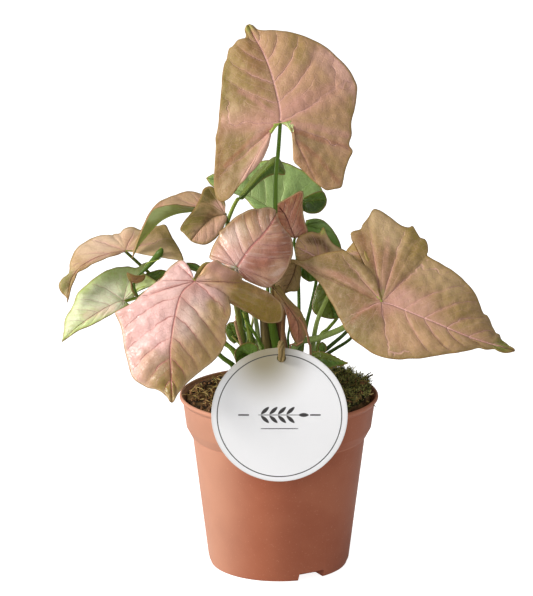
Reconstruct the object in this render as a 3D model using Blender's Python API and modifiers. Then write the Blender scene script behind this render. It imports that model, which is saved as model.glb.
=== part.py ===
# A pink arrowhead plant in its round nursery pot, with a round hanging tag.
#
# The origin is the middle of the pot's foot, on the surface it stands on. +Z is up and -Y is the
# front. Lengths are in millimetres in the tables and become metres through MM.
#
# The leaves are drawn on a front elevation: an upright sheet through the pot's axis, where x is to
# the right and z is up. Each drawn point also has a depth, so the blade stands in front of the
# sheet or behind it on the line of sight from EYE, and the drawing keeps its shape from there.
import math

import bmesh
import bpy
import numpy as np
from mathutils import Matrix, Vector

MM = 0.001
GAP = 0.3 * MM

# Driving dimensions
RIM_RADIUS = 60 * MM
POT_HEIGHT = 106 * MM
FOOT_RADIUS = 41 * MM
WALL = 1.5 * MM
SOIL_LEVEL = 101 * MM
TAG_RADIUS = 40 * MM
TAG_THICKNESS = 0.8 * MM
BLADE_THICKNESS = 0.7 * MM
EYE = Vector((-7.5, -2000, 686)) * MM

# A blade is lofted from ribs that leave its midrib and end on its margin. The three numbers are the
# ribs that fan out from the base into a lobe, the ribs along the midrib, and the steps on a rib.
FULL_RIBS = (5, 6, 3)
SMALL_RIBS = (3, 4, 2)
SMALL_LEAF = 22 * MM
FORWARD_SWEEP = 0.2
FULL_SWELL_WIDTH = 15 * MM

COLOURS = {
    "pink": (0.62, 0.34, 0.27), "tan": (0.44, 0.27, 0.16), "rose": (0.42, 0.20, 0.14),
    "olive": (0.20, 0.15, 0.05), "brown": (0.26, 0.14, 0.08), "pale_green": (0.42, 0.50, 0.18),
    "mid_green": (0.20, 0.32, 0.10), "deep_green": (0.05, 0.10, 0.02),
}

# Each leaf: its colour, how many mm its base stands behind the sheet, how many mm it leans back
# for each mm to the right and each mm up, how far its blade swells between the ribs' ends, and the
# drawn points (x, z) from base to tip. A third number lifts a point towards the viewer. A negative
# swell is that of a leaf whose upper side is turned away. "under" is given where a blade is so
# folded that its petiole comes from another side than straight behind it.
LEAVES = {
    "leaf_top": dict(
        colour="tan", depth=2, lean=(0, 0.36), swell=1.5,
        base=(0.5, 270), tip=(-19, 330.5, -6), midrib=[(0, 283, -1), (-7, 308.5, -3)],
        left=[(-5.5, 267.5, -1), (-8, 255.5, -1), (-18.5, 239.5, -2), (-22, 227, -4), (-32, 224, -7),
              (-39, 232.5, -9), (-37.5, 265, -6), (-34.5, 291.5, -6), (-30.5, 312.5, -7), (-24, 321, -6)],
        right=[(8, 272, -1), (8, 259, -1), (11, 254.5, -2), (9, 247.5, -3), (25.5, 232, -6),
              (38, 233.5, -9), (41.5, 255.5, -8), (46, 291.5, -8), (36.5, 310, -7), (17.5, 322.5, -6),
              (-10, 327, -6)]),
    "leaf_front": dict(
        colour="pink", depth=-40, lean=(0.1, 0.5), swell=1.5,
        base=(-50.5, 175.5), tip=(-64.5, 99.5, 2),
        midrib=[(-59.5, 165.5, 2), (-65, 137.5, 5), (-65, 119, 4)],
        left=[(-53, 183, -1), (-57.5, 188.5, -3), (-65, 183.5, -4), (-78, 171, -5), (-92.5, 160, -9),
              (-98.5, 155.5, -11), (-95, 143, -9), (-91.5, 125, -7), (-84.5, 112, -4), (-72, 107),
              (-67.5, 102.5, 1)],
        right=[(-45.5, 180.5, -1), (-37, 188.5, -3), (-25, 179.5, -5), (-10, 170.5, -10),
              (3, 160, -16), (2.5, 152, -19), (-9, 150, -17), (-20, 158, -13), (-30, 165, -5),
              (-29, 157, -4), (-32, 147.5, -4), (-32.5, 137.5, -4), (-42.5, 123, -2), (-58, 108, 1)]),
    "leaf_right": dict(
        colour="tan", depth=-24, lean=(0, 0.6), swell=1.5,
        base=(61.5, 162.5), tip=(142, 132, -4), midrib=[(68.5, 160.5), (92, 150.5, 3), (115, 140.5, 2)],
        left=[(58.5, 178.5, -1), (53.5, 190, -1), (46.5, 199.5, -3), (43, 203.5, -5), (49, 207.5, -5),
              (56, 219, -4), (70, 211, -4), (78.5, 208.5, -4), (88.5, 199, -5), (89.5, 191, -4),
              (107.5, 178.5, -4), (119, 164, -5), (127.5, 148.5, -5), (136.5, 137.5, -4)],
        right=[(56.5, 166.5), (52.5, 178.5), (46, 187.5, 1), (37, 194), (23.5, 191.5, -2),
              (15, 187, -5), (7, 188.5, -10), (15, 184, -8), (24.5, 174, -8), (33.5, 158, -8),
              (43.5, 140.5, -7), (61, 129.5, -5), (82, 126.5, -4), (106, 129.5, -3), (124, 132.5, -3),
              (132.5, 133, -3)]),
    "leaf_fold": dict(
        colour="tan", depth=3, lean=(0.1, 0.3), swell=1.5,
        base=(36.5, 181), tip=(9.5, 196.5), midrib=[(27.5, 187), (17.5, 193, 2)],
        left=[(35.5, 176), (25.5, 177), (17.5, 182), (12, 187), (10, 191.5)],
        right=[(39, 187), (40.5, 193, -2), (33, 198, -3), (29, 203, -5), (26.5, 208.5, -7),
              (24, 205, -6), (18, 205.5, -5), (11.5, 202.5, -3)]),
    "leaf_centre": dict(
        colour="rose", depth=-24, lean=(0.1, 0.45), swell=1.5,
        base=(-25.5, 183.5), tip=(-3.5, 213.5, -6), midrib=[(-17.5, 195.5, 1), (-10, 203.5, -1)],
        left=[(-28.5, 183.5, -1), (-34, 181, -1), (-42.5, 183.5, -3), (-42, 190, -4), (-39, 199, -5),
              (-35, 205.5, -5), (-28.5, 213.5, -6), (-19, 219, -8), (-10, 219.5, -8)],
        right=[(-22.5, 179, -1), (-16, 175.5, -3), (-8, 172.5, -5), (2.5, 179.5, -6), (6.5, 189.5, -6),
              (7.5, 199, -6), (4, 206.5, -7)]),
    "leaf_rear_pink": dict(
        colour="rose", depth=12, lean=(0, 0.25), swell=1.5,
        base=(9.5, 202), tip=(-1.5, 222.5), midrib=[(7, 208), (3.5, 216.5)],
        left=[(6, 202.5, -1), (1, 206, -2), (-3.5, 211.5, -2), (-4, 219, -1)],
        right=[(13, 203, -1), (17, 205, -3), (15, 213, -2), (14, 221.5, -2), (14, 231, -4),
              (6.5, 227.5, -2)]),
    "leaf_gloss": dict(
        colour="deep_green", depth=26, lean=(0.05, 0.1), swell=1.5,
        base=(15.5, 210), tip=(18, 175, 4), midrib=[(16.5, 197.5, 2), (16.5, 185, 3)],
        left=[(13.5, 208, -1), (11.5, 202, -1), (10.5, 194.5), (11.5, 186), (13.5, 178.5, 2)],
        right=[(16, 213, -1), (22, 214, -1), (30.5, 211.5, -3), (37.5, 203.5, -5), (42, 193, -5),
              (37.5, 184.5, -3), (29.5, 178), (22.5, 176, 3)]),
    "leaf_rear_green": dict(
        colour="mid_green", depth=34, lean=(0, 0.35), swell=1.5,
        base=(0, 217), tip=(-43.5, 238.5), midrib=[(-10, 223.5), (-20.5, 229.5), (-32, 235.5)],
        left=[(1, 214), (-6.5, 215.5, -1), (-14.5, 220, -1), (-21.5, 227, -2), (-31.5, 230.5, -1),
              (-39.5, 233.5)],
        right=[(4, 218, -1), (15.5, 222, -3), (26, 230, -6), (17.5, 240.5, -6), (10, 245.5, -5),
              (0, 249, -5), (-10, 249, -4), (-23, 246, -3), (-37.5, 241.5, -1)]),
    "leaf_rear_dark": dict(
        colour="deep_green", depth=24, lean=(0.1, 0.3), swell=1,
        base=(13.5, 223.5), tip=(28.5, 225.5), midrib=[(19.5, 225, 1)],
        left=[(15, 226.5), (20.5, 229.5), (26, 230.5)],
        right=[(13.5, 219), (18, 217), (23.5, 217.5), (27.5, 221.5)]),
    "leaf_narrow": dict(
        colour="deep_green", depth=14, lean=(0.15, 0.3), swell=0.3,
        base=(-24.5, 225.5), tip=(3.5, 240.5), midrib=[(-19, 231, 2), (-10, 241.5, 2), (-2.5, 247.5, 2)],
        left=[(-22.5, 229.5, -3), (-16, 239, -5), (-8.5, 247, -6), (-1.5, 251.5, -4), (3, 244.5, -2)],
        right=[(-21.5, 225.5), (-15.5, 232.5), (-8.5, 238.5), (-2, 241), (1, 240.5)]),
    "leaf_arching": dict(
        colour="tan", depth=12, lean=(0.5, 0), swell=0.5,
        base=(-43.5, 219.5), tip=(-88, 189, 4), under=(0.3, 0.1, -1),
        midrib=[(-53, 218.5), (-62, 217), (-71, 212.5, 1), (-78.5, 204.5, 3), (-84, 197.5, 4)],
        left=[(-42.5, 227.5, -14), (-53, 230.5, -18), (-62, 228, -18), (-71.5, 224, -14),
              (-77.5, 217, -9), (-81.5, 208.5, -4), (-85.5, 199, 1)],
        right=[(-44, 222, 5), (-52, 221, 8), (-61.5, 222.5, 9), (-70.5, 221, 9), (-75.5, 218.5, 8),
              (-79.5, 211.5, 8), (-83, 203, 7)]),
    "leaf_far_left": dict(
        colour="tan", depth=-8, lean=(-0.05, 0.45), swell=1.5,
        base=(-91.5, 194), tip=(-127, 162, 4),
        midrib=[(-102, 192, 2), (-111.5, 188.5, 3), (-119, 183.5, 4), (-124, 176, 4)],
        left=[(-95, 191.5, 3), (-102, 189.5, 5), (-110, 186.5, 6), (-118, 182, 6), (-121.5, 178.5, 6),
              (-124.5, 171.5, 6)],
        right=[(-86.5, 194.5, -1), (-78, 195, -2), (-71, 195.5, -3), (-64, 192), (-57.5, 188.5, 3),
              (-61.5, 197.5, -4), (-67.5, 210, -12), (-77, 207.5, -12), (-84, 206.5, -11),
              (-89, 208.5, -11), (-94, 206, -10), (-99.5, 203, -9), (-108, 202.5, -8),
              (-116.5, 197.5, -6), (-122, 191, -3), (-125.5, 179.5, 1), (-131.5, 171.5, 4)]),
    "leaf_pale": dict(
        colour="pale_green", depth=-16, lean=(0, 0.45), swell=1.5,
        base=(-93, 163.5), tip=(-130.5, 137.5, 3),
        midrib=[(-101.5, 160, 2), (-112, 153.5, 4), (-122, 146, 4)],
        left=[(-89.5, 161, 2), (-99.5, 155.5, 6), (-112.5, 148, 6), (-120.5, 144.5, 5)],
        right=[(-87, 165.5), (-84.5, 171, 1), (-73.5, 174), (-77, 178, -3), (-81.5, 181.5, -5),
              (-76.5, 187, -9), (-80.5, 187, -9), (-85.5, 183.5, -8), (-91, 184.5, -9),
              (-99, 183.5, -8), (-107, 179.5, -7), (-114.5, 174, -5), (-120.5, 168, -4),
              (-123.5, 160.5, -2), (-128, 152.5), (-129, 145, 2)]),
    "leaf_small_dark": dict(
        colour="deep_green", depth=-2, lean=(0, 0.3), swell=1,
        base=(-82.5, 176), tip=(-66, 181.5), midrib=[(-77, 178, 1), (-71, 180.5, 1)],
        left=[(-81.5, 179), (-77.5, 181), (-71, 182.5)],
        right=[(-80, 174), (-75, 174.5), (-69.5, 178)]),
    "leaf_scrap": dict(
        colour="brown", depth=-21, lean=(0, 0.2), swell=0.5,
        base=(-88.5, 175), tip=(-91, 181, 3), midrib=[(-89, 178, 2)],
        left=[(-89, 175.5), (-90.5, 178, 1)],
        right=[(-85.5, 174), (-81.5, 175.5), (-80, 179, 1), (-85.5, 179, 2)]),
    "leaf_speck": dict(
        colour="deep_green", depth=-6, lean=(0, 0.3), swell=0.5,
        base=(-47.5, 182), tip=(-55.5, 187), midrib=[(-51.5, 184.5)],
        left=[(-49, 181), (-54, 183)],
        right=[(-46, 184), (-50, 186.5)]),
    "leaf_olive": dict(
        colour="olive", depth=-2, lean=(0.05, 0.4), swell=1.5,
        base=(-32, 216.5), tip=(-52.5, 200, 3), midrib=[(-39.5, 214.5, -1), (-44.5, 210, 1), (-49, 205, 2)],
        left=[(-32, 222), (-34, 228.5, -1), (-40, 233.5, -3), (-45, 232, -3), (-47, 226.5, -1),
              (-51, 219), (-59, 208.5), (-56.5, 204.5, 2)],
        right=[(-31, 213.5), (-34, 207.5, 1), (-37.5, 202, 2), (-43.5, 198, 3), (-49, 198.5, 3)]),
    "leaf_brown": dict(
        colour="brown", depth=12, lean=(0, 0.1), swell=1.5,
        base=(10.5, 186.5), tip=(3, 167.5, 2), midrib=[(8.5, 179, 1)],
        left=[(7, 188.5), (3, 186, -1), (-2, 179.5, -1), (-2.5, 173.5), (0.5, 169, 1)],
        right=[(12.5, 186), (13, 179.5), (11.5, 170, 1), (6.5, 169, 2)]),
    "leaf_hanging": dict(
        colour="brown", depth=-14, lean=(0.05, 0.25), swell=0.5,
        base=(-3.5, 171.5), tip=(11, 135, 6), midrib=[(3.5, 162, 5), (11, 150.5, 6), (12, 142, 6)],
        left=[(-5, 169), (-2.5, 163.5, -2), (2.5, 160, -3), (5, 153.5, -2), (7, 143, 2)],
        right=[(0, 173, -2), (5, 165.5, -2), (12, 157.5, -2), (16, 150.5, -2), (17, 144), (14.5, 138, 4)]),
    "leaf_inner_left": dict(
        colour="deep_green", depth=-6, lean=(0, 0.2), swell=0.8,
        base=(-24.5, 138), tip=(-30, 150), midrib=[(-27.5, 144, 1)],
        left=[(-27, 136.5), (-30.5, 140), (-32.5, 146)],
        right=[(-23, 140.5), (-23, 146), (-25, 150)]),
    "leaf_inner_mid": dict(
        colour="deep_green", depth=-8, lean=(0, 0.2), swell=0.8,
        base=(-2, 131.5), tip=(-8, 152.5), midrib=[(-5, 141.5, 1)],
        left=[(-5.5, 132.5), (-9.5, 139), (-11, 148)],
        right=[(2, 134), (2.5, 142), (-2, 150)]),
    "leaf_cup": dict(
        colour="deep_green", depth=-30, lean=(0, 0.3), swell=0.5,
        base=(-16, 127.5), tip=(-26, 125, 4), midrib=[(-20, 130, -4), (-23.5, 129, -2)],
        under=(0.2, 0.4, -1),
        left=[(-15, 125), (-19, 123, 2), (-23.5, 123, 4)],
        right=[(-12.5, 131.5), (-13, 135.5, -2), (-18, 137.5, -4), (-23.5, 135.5, -2), (-26.5, 131.5, 2)]),
    "leaf_toothed": dict(
        colour="mid_green", depth=-30, lean=(0, 0.3), swell=0.8,
        base=(20, 128), tip=(42, 124.5, 2), midrib=[(26, 127.5, 1), (34.5, 126, 1)],
        left=[(20.5, 132), (26, 132), (32, 130), (37.5, 127)],
        right=[(21, 124), (26, 120.5), (31.5, 121), (37.5, 122.5)]),
    "leaf_stub": dict(
        colour="deep_green", depth=-14, lean=(0, 0.2), swell=0.5,
        base=(26, 131.5), tip=(26, 138), midrib=[(26, 134.5, 1)],
        left=[(23.5, 132.5), (23.5, 135.5)],
        right=[(28.5, 132), (28.5, 135.5)]),
    "leaf_hidden": dict(
        colour="deep_green", depth=9, lean=(0, 0.1), swell=1.5,
        base=(31.5, 173.5), tip=(33, 152, 2), midrib=[(31, 163.5, 1)],
        left=[(27.5, 176.5, -1), (23.5, 173.5, -1), (20, 162), (21, 156, 1), (27, 153, 2)],
        right=[(36.5, 176.5, -1), (42, 171, -1), (43, 162, -1), (39.5, 154.5, 1)]),
    "leaf_back_right": dict(
        colour="tan", depth=40, lean=(0.25, -0.45), swell=-1.5,
        base=(63, 172.5), tip=(112.5, 143, -4), midrib=[(78.5, 165.5, -2), (96.5, 155, -3)],
        left=[(63, 178.5), (67.5, 187), (77, 191.5), (89, 183.5), (103.5, 163.5, -1)],
        right=[(57, 171), (48.5, 166), (52, 151), (70.5, 139), (94.5, 140, -2)]),
    "leaf_back_low": dict(
        colour="mid_green", depth=26, lean=(0.1, -0.5), swell=-1.5,
        base=(46, 155), tip=(80, 132.5, -8), midrib=[(57, 148.5, -3), (69, 140.5, -6)],
        left=[(48.5, 160), (55.5, 165), (67.5, 158.5, -1), (76.5, 145, -4)],
        right=[(42.5, 153.5), (38.5, 155), (44, 142.5), (59.5, 133, -3)]),
    "leaf_back_left": dict(
        colour="tan", depth=38, lean=(-0.25, -0.45), swell=-1.5,
        base=(-54.5, 160), tip=(-76.5, 119, -8), midrib=[(-62, 147.5, -2), (-70.5, 132.5, -5)],
        left=[(-59.5, 161), (-71.5, 162.5), (-82, 152.5), (-83.5, 136.5, -2)],
        right=[(-50, 157.5), (-42.5, 150), (-47.5, 135, -1), (-62, 122.5, -4)]),
    "leaf_back_centre": dict(
        colour="rose", depth=54, lean=(-0.1, -0.6), swell=-1.5,
        base=(-12.5, 202), tip=(-20, 176, -8), midrib=[(-15, 193, -3), (-17.5, 184, -6)],
        left=[(-17.5, 204.5), (-24.5, 205.5), (-30.5, 198), (-29.5, 186, -3)],
        right=[(-8, 203), (-0.5, 203), (3, 195.5), (-4, 183.5, -3)]),
}

# Each petiole: the shoot that it grows from, its radius, and the points (x, z, depth) it passes on
# its way to the base of its leaf
SHOOTS = {
    "shoot_centre": (0, 2), "shoot_left": (-17, -6), "shoot_rear_left": (-15, 16),
    "shoot_front": (5, -27), "shoot_right": (18, -2), "shoot_rear": (6, 24),
}
PETIOLES = {
    "leaf_top": ("shoot_centre", 1.5, [(-2, 145, 3), (-4, 173, 4), (-4, 197.5, 4), (-2.5, 214, 4),
        (-2, 237.5, 5), (-0.5, 255.5, 5)]),
    "leaf_centre": ("shoot_centre", 1.4, [(-11, 133, -6), (-14, 151, -8), (-20, 166.5, -8),
        (-24.5, 178.5, -12)]),
    "leaf_rear_pink": ("shoot_centre", 1.1, [(11.5, 135.5, 8), (12, 156, 14), (11.5, 179, 19),
        (10.5, 191.5, 20), (9, 199, 18)]),
    "leaf_inner_mid": ("shoot_centre", 1.3, [(-1, 125, -4)]),
    "leaf_front": ("shoot_left", 1.7, [(-22, 137, -12), (-24.5, 154.5, -17), (-28, 171.5, -21),
        (-34, 181.5, -28), (-42.5, 186, -29), (-47.5, 182, -33)]),
    "leaf_pale": ("shoot_left", 1.2, [(-26.5, 130.5, -8), (-38.5, 140, -8), (-59.5, 156, -8),
        (-76, 169, -8), (-84.5, 165.5, -8)]),
    "leaf_inner_left": ("shoot_left", 1.1, [(-21.5, 131.5, -8)]),
    "leaf_far_left": ("shoot_rear_left", 1.2, [(-27, 122.5, 2), (-36.5, 130.5, 0), (-58, 156, 2),
        (-76, 178.5, 6), (-83.5, 186, 3)]),
    "leaf_olive": ("shoot_rear_left", 1.3, [(-20, 135.5, 6), (-26, 163.5, 6), (-30, 191.5, 6),
        (-30, 208, 5)]),
    "leaf_narrow": ("shoot_rear_left", 1.5, [(-17, 135.5, 12), (-21.5, 163.5, 12), (-29.5, 194.5, 12),
        (-31, 209, 12), (-28.5, 218, 13)]),
    "leaf_arching": ("shoot_rear_left", 1.1, [(-20, 135.5, 22), (-23.5, 163.5, 21), (-28, 191.5, 20),
        (-34, 205, 20), (-40, 213.5, 18)]),
    "leaf_back_left": ("shoot_rear_left", 1.1, [(-24.5, 129, 12), (-32, 137, 18), (-44.5, 150, 32)]),
    "leaf_hanging": ("shoot_front", 1.4, [(2.5, 135.5, -30), (2.5, 148, -17), (3, 158.5, -8),
        (0, 168, -6)]),
    "leaf_cup": ("shoot_front", 0.9, [(-10, 122.5, -30)]),
    "leaf_toothed": ("shoot_front", 1.1, [(14, 122.5, -30)]),
    "leaf_right": ("shoot_front", 1.9, [(9, 133.6, -15), (24, 140.2, -13), (39, 146.8, -11),
        (52, 157, -8), (59.5, 168.5, -8), (61, 170.5, -14)]),
    "leaf_fold": ("shoot_right", 1.4, [(19, 144, -6), (28.5, 165, -2), (33.5, 173, 2), (37, 178, 6)]),
    "leaf_hidden": ("shoot_right", 1.1, [(26.5, 144, 8), (35, 153.5, 14), (36.5, 162.5, 18),
        (34, 170, 16)]),
    "leaf_stub": ("shoot_right", 1, [(22.5, 126.5, -8)]),
    "leaf_back_right": ("shoot_right", 1.1, [(28.5, 132.5, 6), (40.5, 143, 8), (50, 156, 10),
        (57, 168.5, 25)]),
    "leaf_gloss": ("shoot_rear", 1.1, [(15, 142, 14), (17, 151, 16), (22, 174, 24), (22, 187, 32),
        (18, 203.5, 34)]),
    "leaf_rear_green": ("shoot_rear", 1.2, [(-2, 145, 26), (-3.5, 170, 32), (0, 194.5, 38),
        (0.5, 211.5, 40)]),
    "leaf_back_low": ("shoot_rear", 1.1, [(30, 130.5, 20), (44, 139.5, 20), (45, 147.5, 18)]),
    "leaf_back_centre": ("shoot_rear", 1.2, [(-5.5, 139, 34), (-6.5, 163.5, 44), (-8, 187, 50)]),
}
# Petioles that spring from another petiole, at their first point
BRANCHES = {
    "leaf_brown": ("shoot_centre", 0.8, [(11.5, 179, 19), (12, 183, 17)]),
    "leaf_scrap": ("shoot_left", 0.8, [(-76, 169, -8), (-81, 165.5, -12), (-85, 166, -19),
        (-88, 170.5, -22)]),
    "leaf_rolled": ("shoot_left", 0.8, [(-85, 166, -19), (-87, 172.5, -19), (-85, 177.5, -15)]),
    "leaf_small_dark": ("shoot_rear_left", 0.9, [(-58, 156, 2), (-74, 172.5, 5)]),
    "leaf_speck": ("shoot_rear_left", 0.7, [(-36.5, 130.5, 0), (-44, 151, 0), (-47.5, 170, -1),
        (-46.5, 178, -4)]),
    "leaf_rear_dark": ("shoot_rear", 0.9, [(-3.5, 170, 32), (3, 194.5, 34), (10.5, 216, 31)]),
}
SHOOT_RADIUS = 3.6 * MM
SHOOT_SIDES = 12
SHOOT_BOTTOM = 70 * MM
SHOOT_TOP = SOIL_LEVEL + 5 * MM
PETIOLE_STEP = 9 * MM
PETIOLE_TAPER = (1.25, 0.75)
CURVE_PARTS = 8
APPROACH = 4 * MM
SEAT = BLADE_THICKNESS / 2 + 3 * GAP

# A young leaf that is still rolled up: the points of its middle line and its radius at each
ROLLED_LEAF = [
    (-82.5, 180.5, -12, 0.9), (-79, 184, -13, 1.3), (-75, 188.5, -14, 1.7), (-71.5, 192.5, -15, 2.1),
    (-70, 195, -15, 1.3),
]

# Pot, from the lip down the outer side: shares of the rim's radius, and heights in mm
LIP = [(0.985, 106), (1.0, 104.8), (0.996, 103.3), (0.968, 102.4)]
COLLAR_TOP = (57.9 * MM, 101.6 * MM)
COLLAR_BOTTOM = (55.9 * MM, 86.5 * MM)
SHOULDER = (52.9 * MM, 81 * MM)
STEP_LINE = (52.1 * MM, 80.2 * MM)
BODY_FOOT = (42.7 * MM, 3.5 * MM)
POT_SIDES = 48
SOIL_SIDES = 32
SOIL_HEAP = [(0, 102), (14, 101.8), (28, 102.3), (42, 102.4), (51, 102.2), (55.2, 101.2)]
NOTCHES = 3
NOTCH_WIDTH = 17 * MM
NOTCH_HEIGHT = 5 * MM
NOTCH_INNER = 31 * MM
FIRST_NOTCH = math.radians(28)

# Tag, its hole and its tie
TAG_CENTRE = Vector((0.1, -60.4, 110)) * MM
TAG_LEAN = math.radians(4.5)
HOLE_PLACE = Vector((1.2, 34, 0)) * MM
HOLE_RADIUS = 2.6 * MM
TAG_SIDES = 64
HOLE_SIDES = 20
TIE_RADIUS = 1.9 * MM
TIE_ROUTE = [
    (1.3, -60.9, 144.5), (1.3, -60.8, 149), (1.2, -57.4, 152.4), (0.8, -53.6, 149.2), (-0.6, -47, 144),
    (-1.8, -39, 141), (-2, -31, 139.2), (2.4, -24.6, 138), (6.9, -31, 138), (6, -40, 139), (4, -48, 141),
    (1.9, -54.2, 143.2), (1.3, -57.7, 143.8),
]


def clear_scene():
    for obj in list(bpy.data.objects):
        bpy.data.objects.remove(obj, do_unlink=True)


def collection(name):
    made = bpy.data.collections.new(name)
    bpy.context.scene.collection.children.link(made)
    return made


def material(name, colour, roughness):
    made = bpy.data.materials.new(name)
    made.use_nodes = True
    shader = made.node_tree.nodes["Principled BSDF"]
    shader.inputs["Base Color"].default_value = (*colour, 1)
    shader.inputs["Roughness"].default_value = roughness
    return made


def add_object(name, data, finish, group):
    made = bpy.data.objects.new(name, data)
    if finish is not None:
        data.materials.append(finish)
    group.objects.link(made)
    return made


def add_cutter(name, mesh, group):
    made = add_object(name, mesh, None, group)
    made.hide_render = True
    made.display_type = "WIRE"
    return made


def mesh_from(name, shape):
    mesh = bpy.data.meshes.new(name)
    shape.to_mesh(mesh)
    shape.free()
    return mesh


def cylinder(name, radius, bottom, top, sides):
    shape = bmesh.new()
    bmesh.ops.create_cone(
        shape, cap_ends=True, segments=sides, radius1=radius, radius2=radius, depth=top - bottom)
    bmesh.ops.translate(shape, vec=(0, 0, (top + bottom) / 2), verts=shape.verts)
    return mesh_from(name, shape)


def box(name, low, high):
    shape = bmesh.new()
    bmesh.ops.create_cube(shape, size=1)
    low, high = Vector(low), Vector(high)
    bmesh.ops.scale(shape, vec=high - low, verts=shape.verts)
    bmesh.ops.translate(shape, vec=(low + high) / 2, verts=shape.verts)
    return mesh_from(name, shape)


def boolean(obj, operation, operand):
    step = obj.modifiers.new(operation.lower(), "BOOLEAN")
    step.operation = operation
    if isinstance(operand, bpy.types.Collection):
        step.operand_type = "COLLECTION"
        step.collection = operand
    else:
        step.object = operand


def turned(name, profile, sides, finish, group):
    """A solid of revolution from (radius, height) points that run down its outer side."""
    mesh = bpy.data.meshes.new(name)
    points = [(radius, 0, height) for radius, height in profile]
    mesh.from_pydata(points, [(i, i + 1) for i in range(len(points) - 1)], [])
    made = add_object(name, mesh, finish, group)
    screw = made.modifiers.new("turn", "SCREW")
    screw.steps = screw.render_steps = sides
    screw.use_merge_vertices = True
    screw.merge_threshold = 0.00001
    return made


def plain_mesh(obj):
    """The object's evaluated shape, with its caps welded."""
    bpy.context.view_layer.update()
    evaluated = obj.evaluated_get(bpy.context.evaluated_depsgraph_get())
    mesh = bpy.data.meshes.new_from_object(evaluated)
    shape = bmesh.new()
    shape.from_mesh(mesh)
    bmesh.ops.remove_doubles(shape, verts=shape.verts, dist=0.000001)
    shape.to_mesh(mesh)
    shape.free()
    return mesh


def tube(name, points, radii, group, closed=False, resolution=1):
    """A round bar through the points; radii holds its radius at each of them."""
    curve = bpy.data.curves.new(name, "CURVE")
    curve.dimensions = "3D"
    curve.bevel_depth = 1
    curve.bevel_resolution = resolution
    curve.use_fill_caps = not closed
    spline = curve.splines.new("POLY")
    spline.points.add(len(points) - 1)
    spline.use_cyclic_u = closed
    for knot, point, radius in zip(spline.points, points, radii):
        knot.co = (*point, 1)
        knot.radius = radius
    bar = add_object(name, curve, None, group)
    mesh = plain_mesh(bar)
    bpy.data.objects.remove(bar)
    return mesh


def smooth_points(keys, parts, closed=False):
    """Points on a smooth curve through the keys, with the given number in each stretch."""
    keys = np.array(keys, float)
    if closed:
        padded = np.vstack([keys[-1], keys, keys[:2]])
    else:
        padded = np.vstack([2 * keys[0] - keys[1], keys, 2 * keys[-1] - keys[-2]])
    points = []
    for a, b, c, d in zip(padded[:-3], padded[1:-2], padded[2:-1], padded[3:]):
        square = 2 * a - 5 * b + 4 * c - d
        cube = 3 * b - a - 3 * c + d
        for u in np.arange(parts) / parts:
            points.append(b + u / 2 * (c - a + u * (square + u * cube)))
    if not closed:
        points.append(keys[-1])
    return np.array(points)


def evenly_spaced(points, count):
    """count + 1 points at even distances along a run of points."""
    along = np.concatenate([[0], np.cumsum(np.linalg.norm(np.diff(points, axis=0), axis=1))])
    wanted = np.linspace(0, along[-1], count + 1)
    return np.column_stack([np.interp(wanted, along, points[:, axis]) for axis in range(3)])


def seen_at(x, z, depth):
    """The point at this depth (mm) that the front elevation shows at x, z (mm)."""
    on_sheet = Vector((x, 0, z)) * MM
    return EYE + (on_sheet - EYE) * (depth * MM - EYE.y) / -EYE.y


def placed(leaf, point):
    """A drawn point of a leaf, set on the leaf's leaning plane and lifted off it."""
    x, z = point[:2]
    lift = point[2] if len(point) > 2 else 0
    base_x, base_z = leaf["base"]
    lean_x, lean_z = leaf["lean"]
    return seen_at(x, z, leaf["depth"] + lean_x * (x - base_x) + lean_z * (z - base_z) - lift)


def facing(leaf):
    """The way a leaf's blade faces at its base, on the viewer's side."""
    lean_x, lean_z = leaf["lean"]
    return Vector((lean_x, -1, lean_z)).normalized()


def half_blade(leaf, side):
    """A grid of points, ribs by steps, from the midrib to one margin."""
    midrib = [leaf["base"], *leaf["midrib"], leaf["tip"]]
    midrib = smooth_points([placed(leaf, point) for point in midrib], CURVE_PARTS)
    is_small = np.linalg.norm(midrib[-1] - midrib[0]) < SMALL_LEAF
    lobe_ribs, blade_ribs, rib_steps = SMALL_RIBS if is_small else FULL_RIBS
    margin = [placed(leaf, point) for point in [*leaf[side], leaf["tip"]]]
    margin = smooth_points(margin, CURVE_PARTS)
    axis = midrib[-1] - midrib[0]
    forward = (margin - midrib[0]) @ axis / (axis @ axis)
    behind = np.nonzero(forward[:-2] < FORWARD_SWEEP)[0]
    shoulder = behind[-1] if len(behind) > 1 else 2
    lobe = evenly_spaced(margin[:shoulder + 1], lobe_ribs)
    blade = evenly_spaced(margin[shoulder:], blade_ribs)
    ends = np.vstack([lobe, blade[1:]])
    starts = np.vstack([np.tile(midrib[0], (lobe_ribs, 1)), evenly_spaced(midrib, blade_ribs)])
    step = np.linspace(0, 1, rib_steps + 1)[None, :, None]
    width = np.linalg.norm(ends - starts, axis=1)[:, None, None]
    swell = leaf["swell"] * MM * np.minimum(1, width / FULL_SWELL_WIDTH) * 4 * step * (1 - step)
    return starts[:, None] * (1 - step) + ends[:, None] * step + swell * np.array(facing(leaf))


def blade_mesh(name, leaf):
    """The open surface of a blade: two halves that share the midrib, in triangles."""
    shape = bmesh.new()
    for side in ("left", "right"):
        grid = half_blade(leaf, side)
        knots = [[shape.verts.new(point) for point in rib] for rib in grid]
        for rib, following in zip(knots[:-1], knots[1:]):
            for step in range(len(rib) - 1):
                corners = [rib[step], following[step], following[step + 1], rib[step + 1]]
                shape.faces.new(corners if side == "left" else corners[::-1])
    bmesh.ops.remove_doubles(shape, verts=shape.verts, dist=0.00002)
    bmesh.ops.triangulate(shape, faces=shape.faces)
    return mesh_from(name, shape)


def build_leaf(name, leaf, finishes, group):
    blade = add_object(name, blade_mesh(name, leaf), finishes[leaf["colour"]], group)
    wall = blade.modifiers.new("thickness", "SOLIDIFY")
    wall.thickness = BLADE_THICKNESS
    wall.offset = 0


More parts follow.
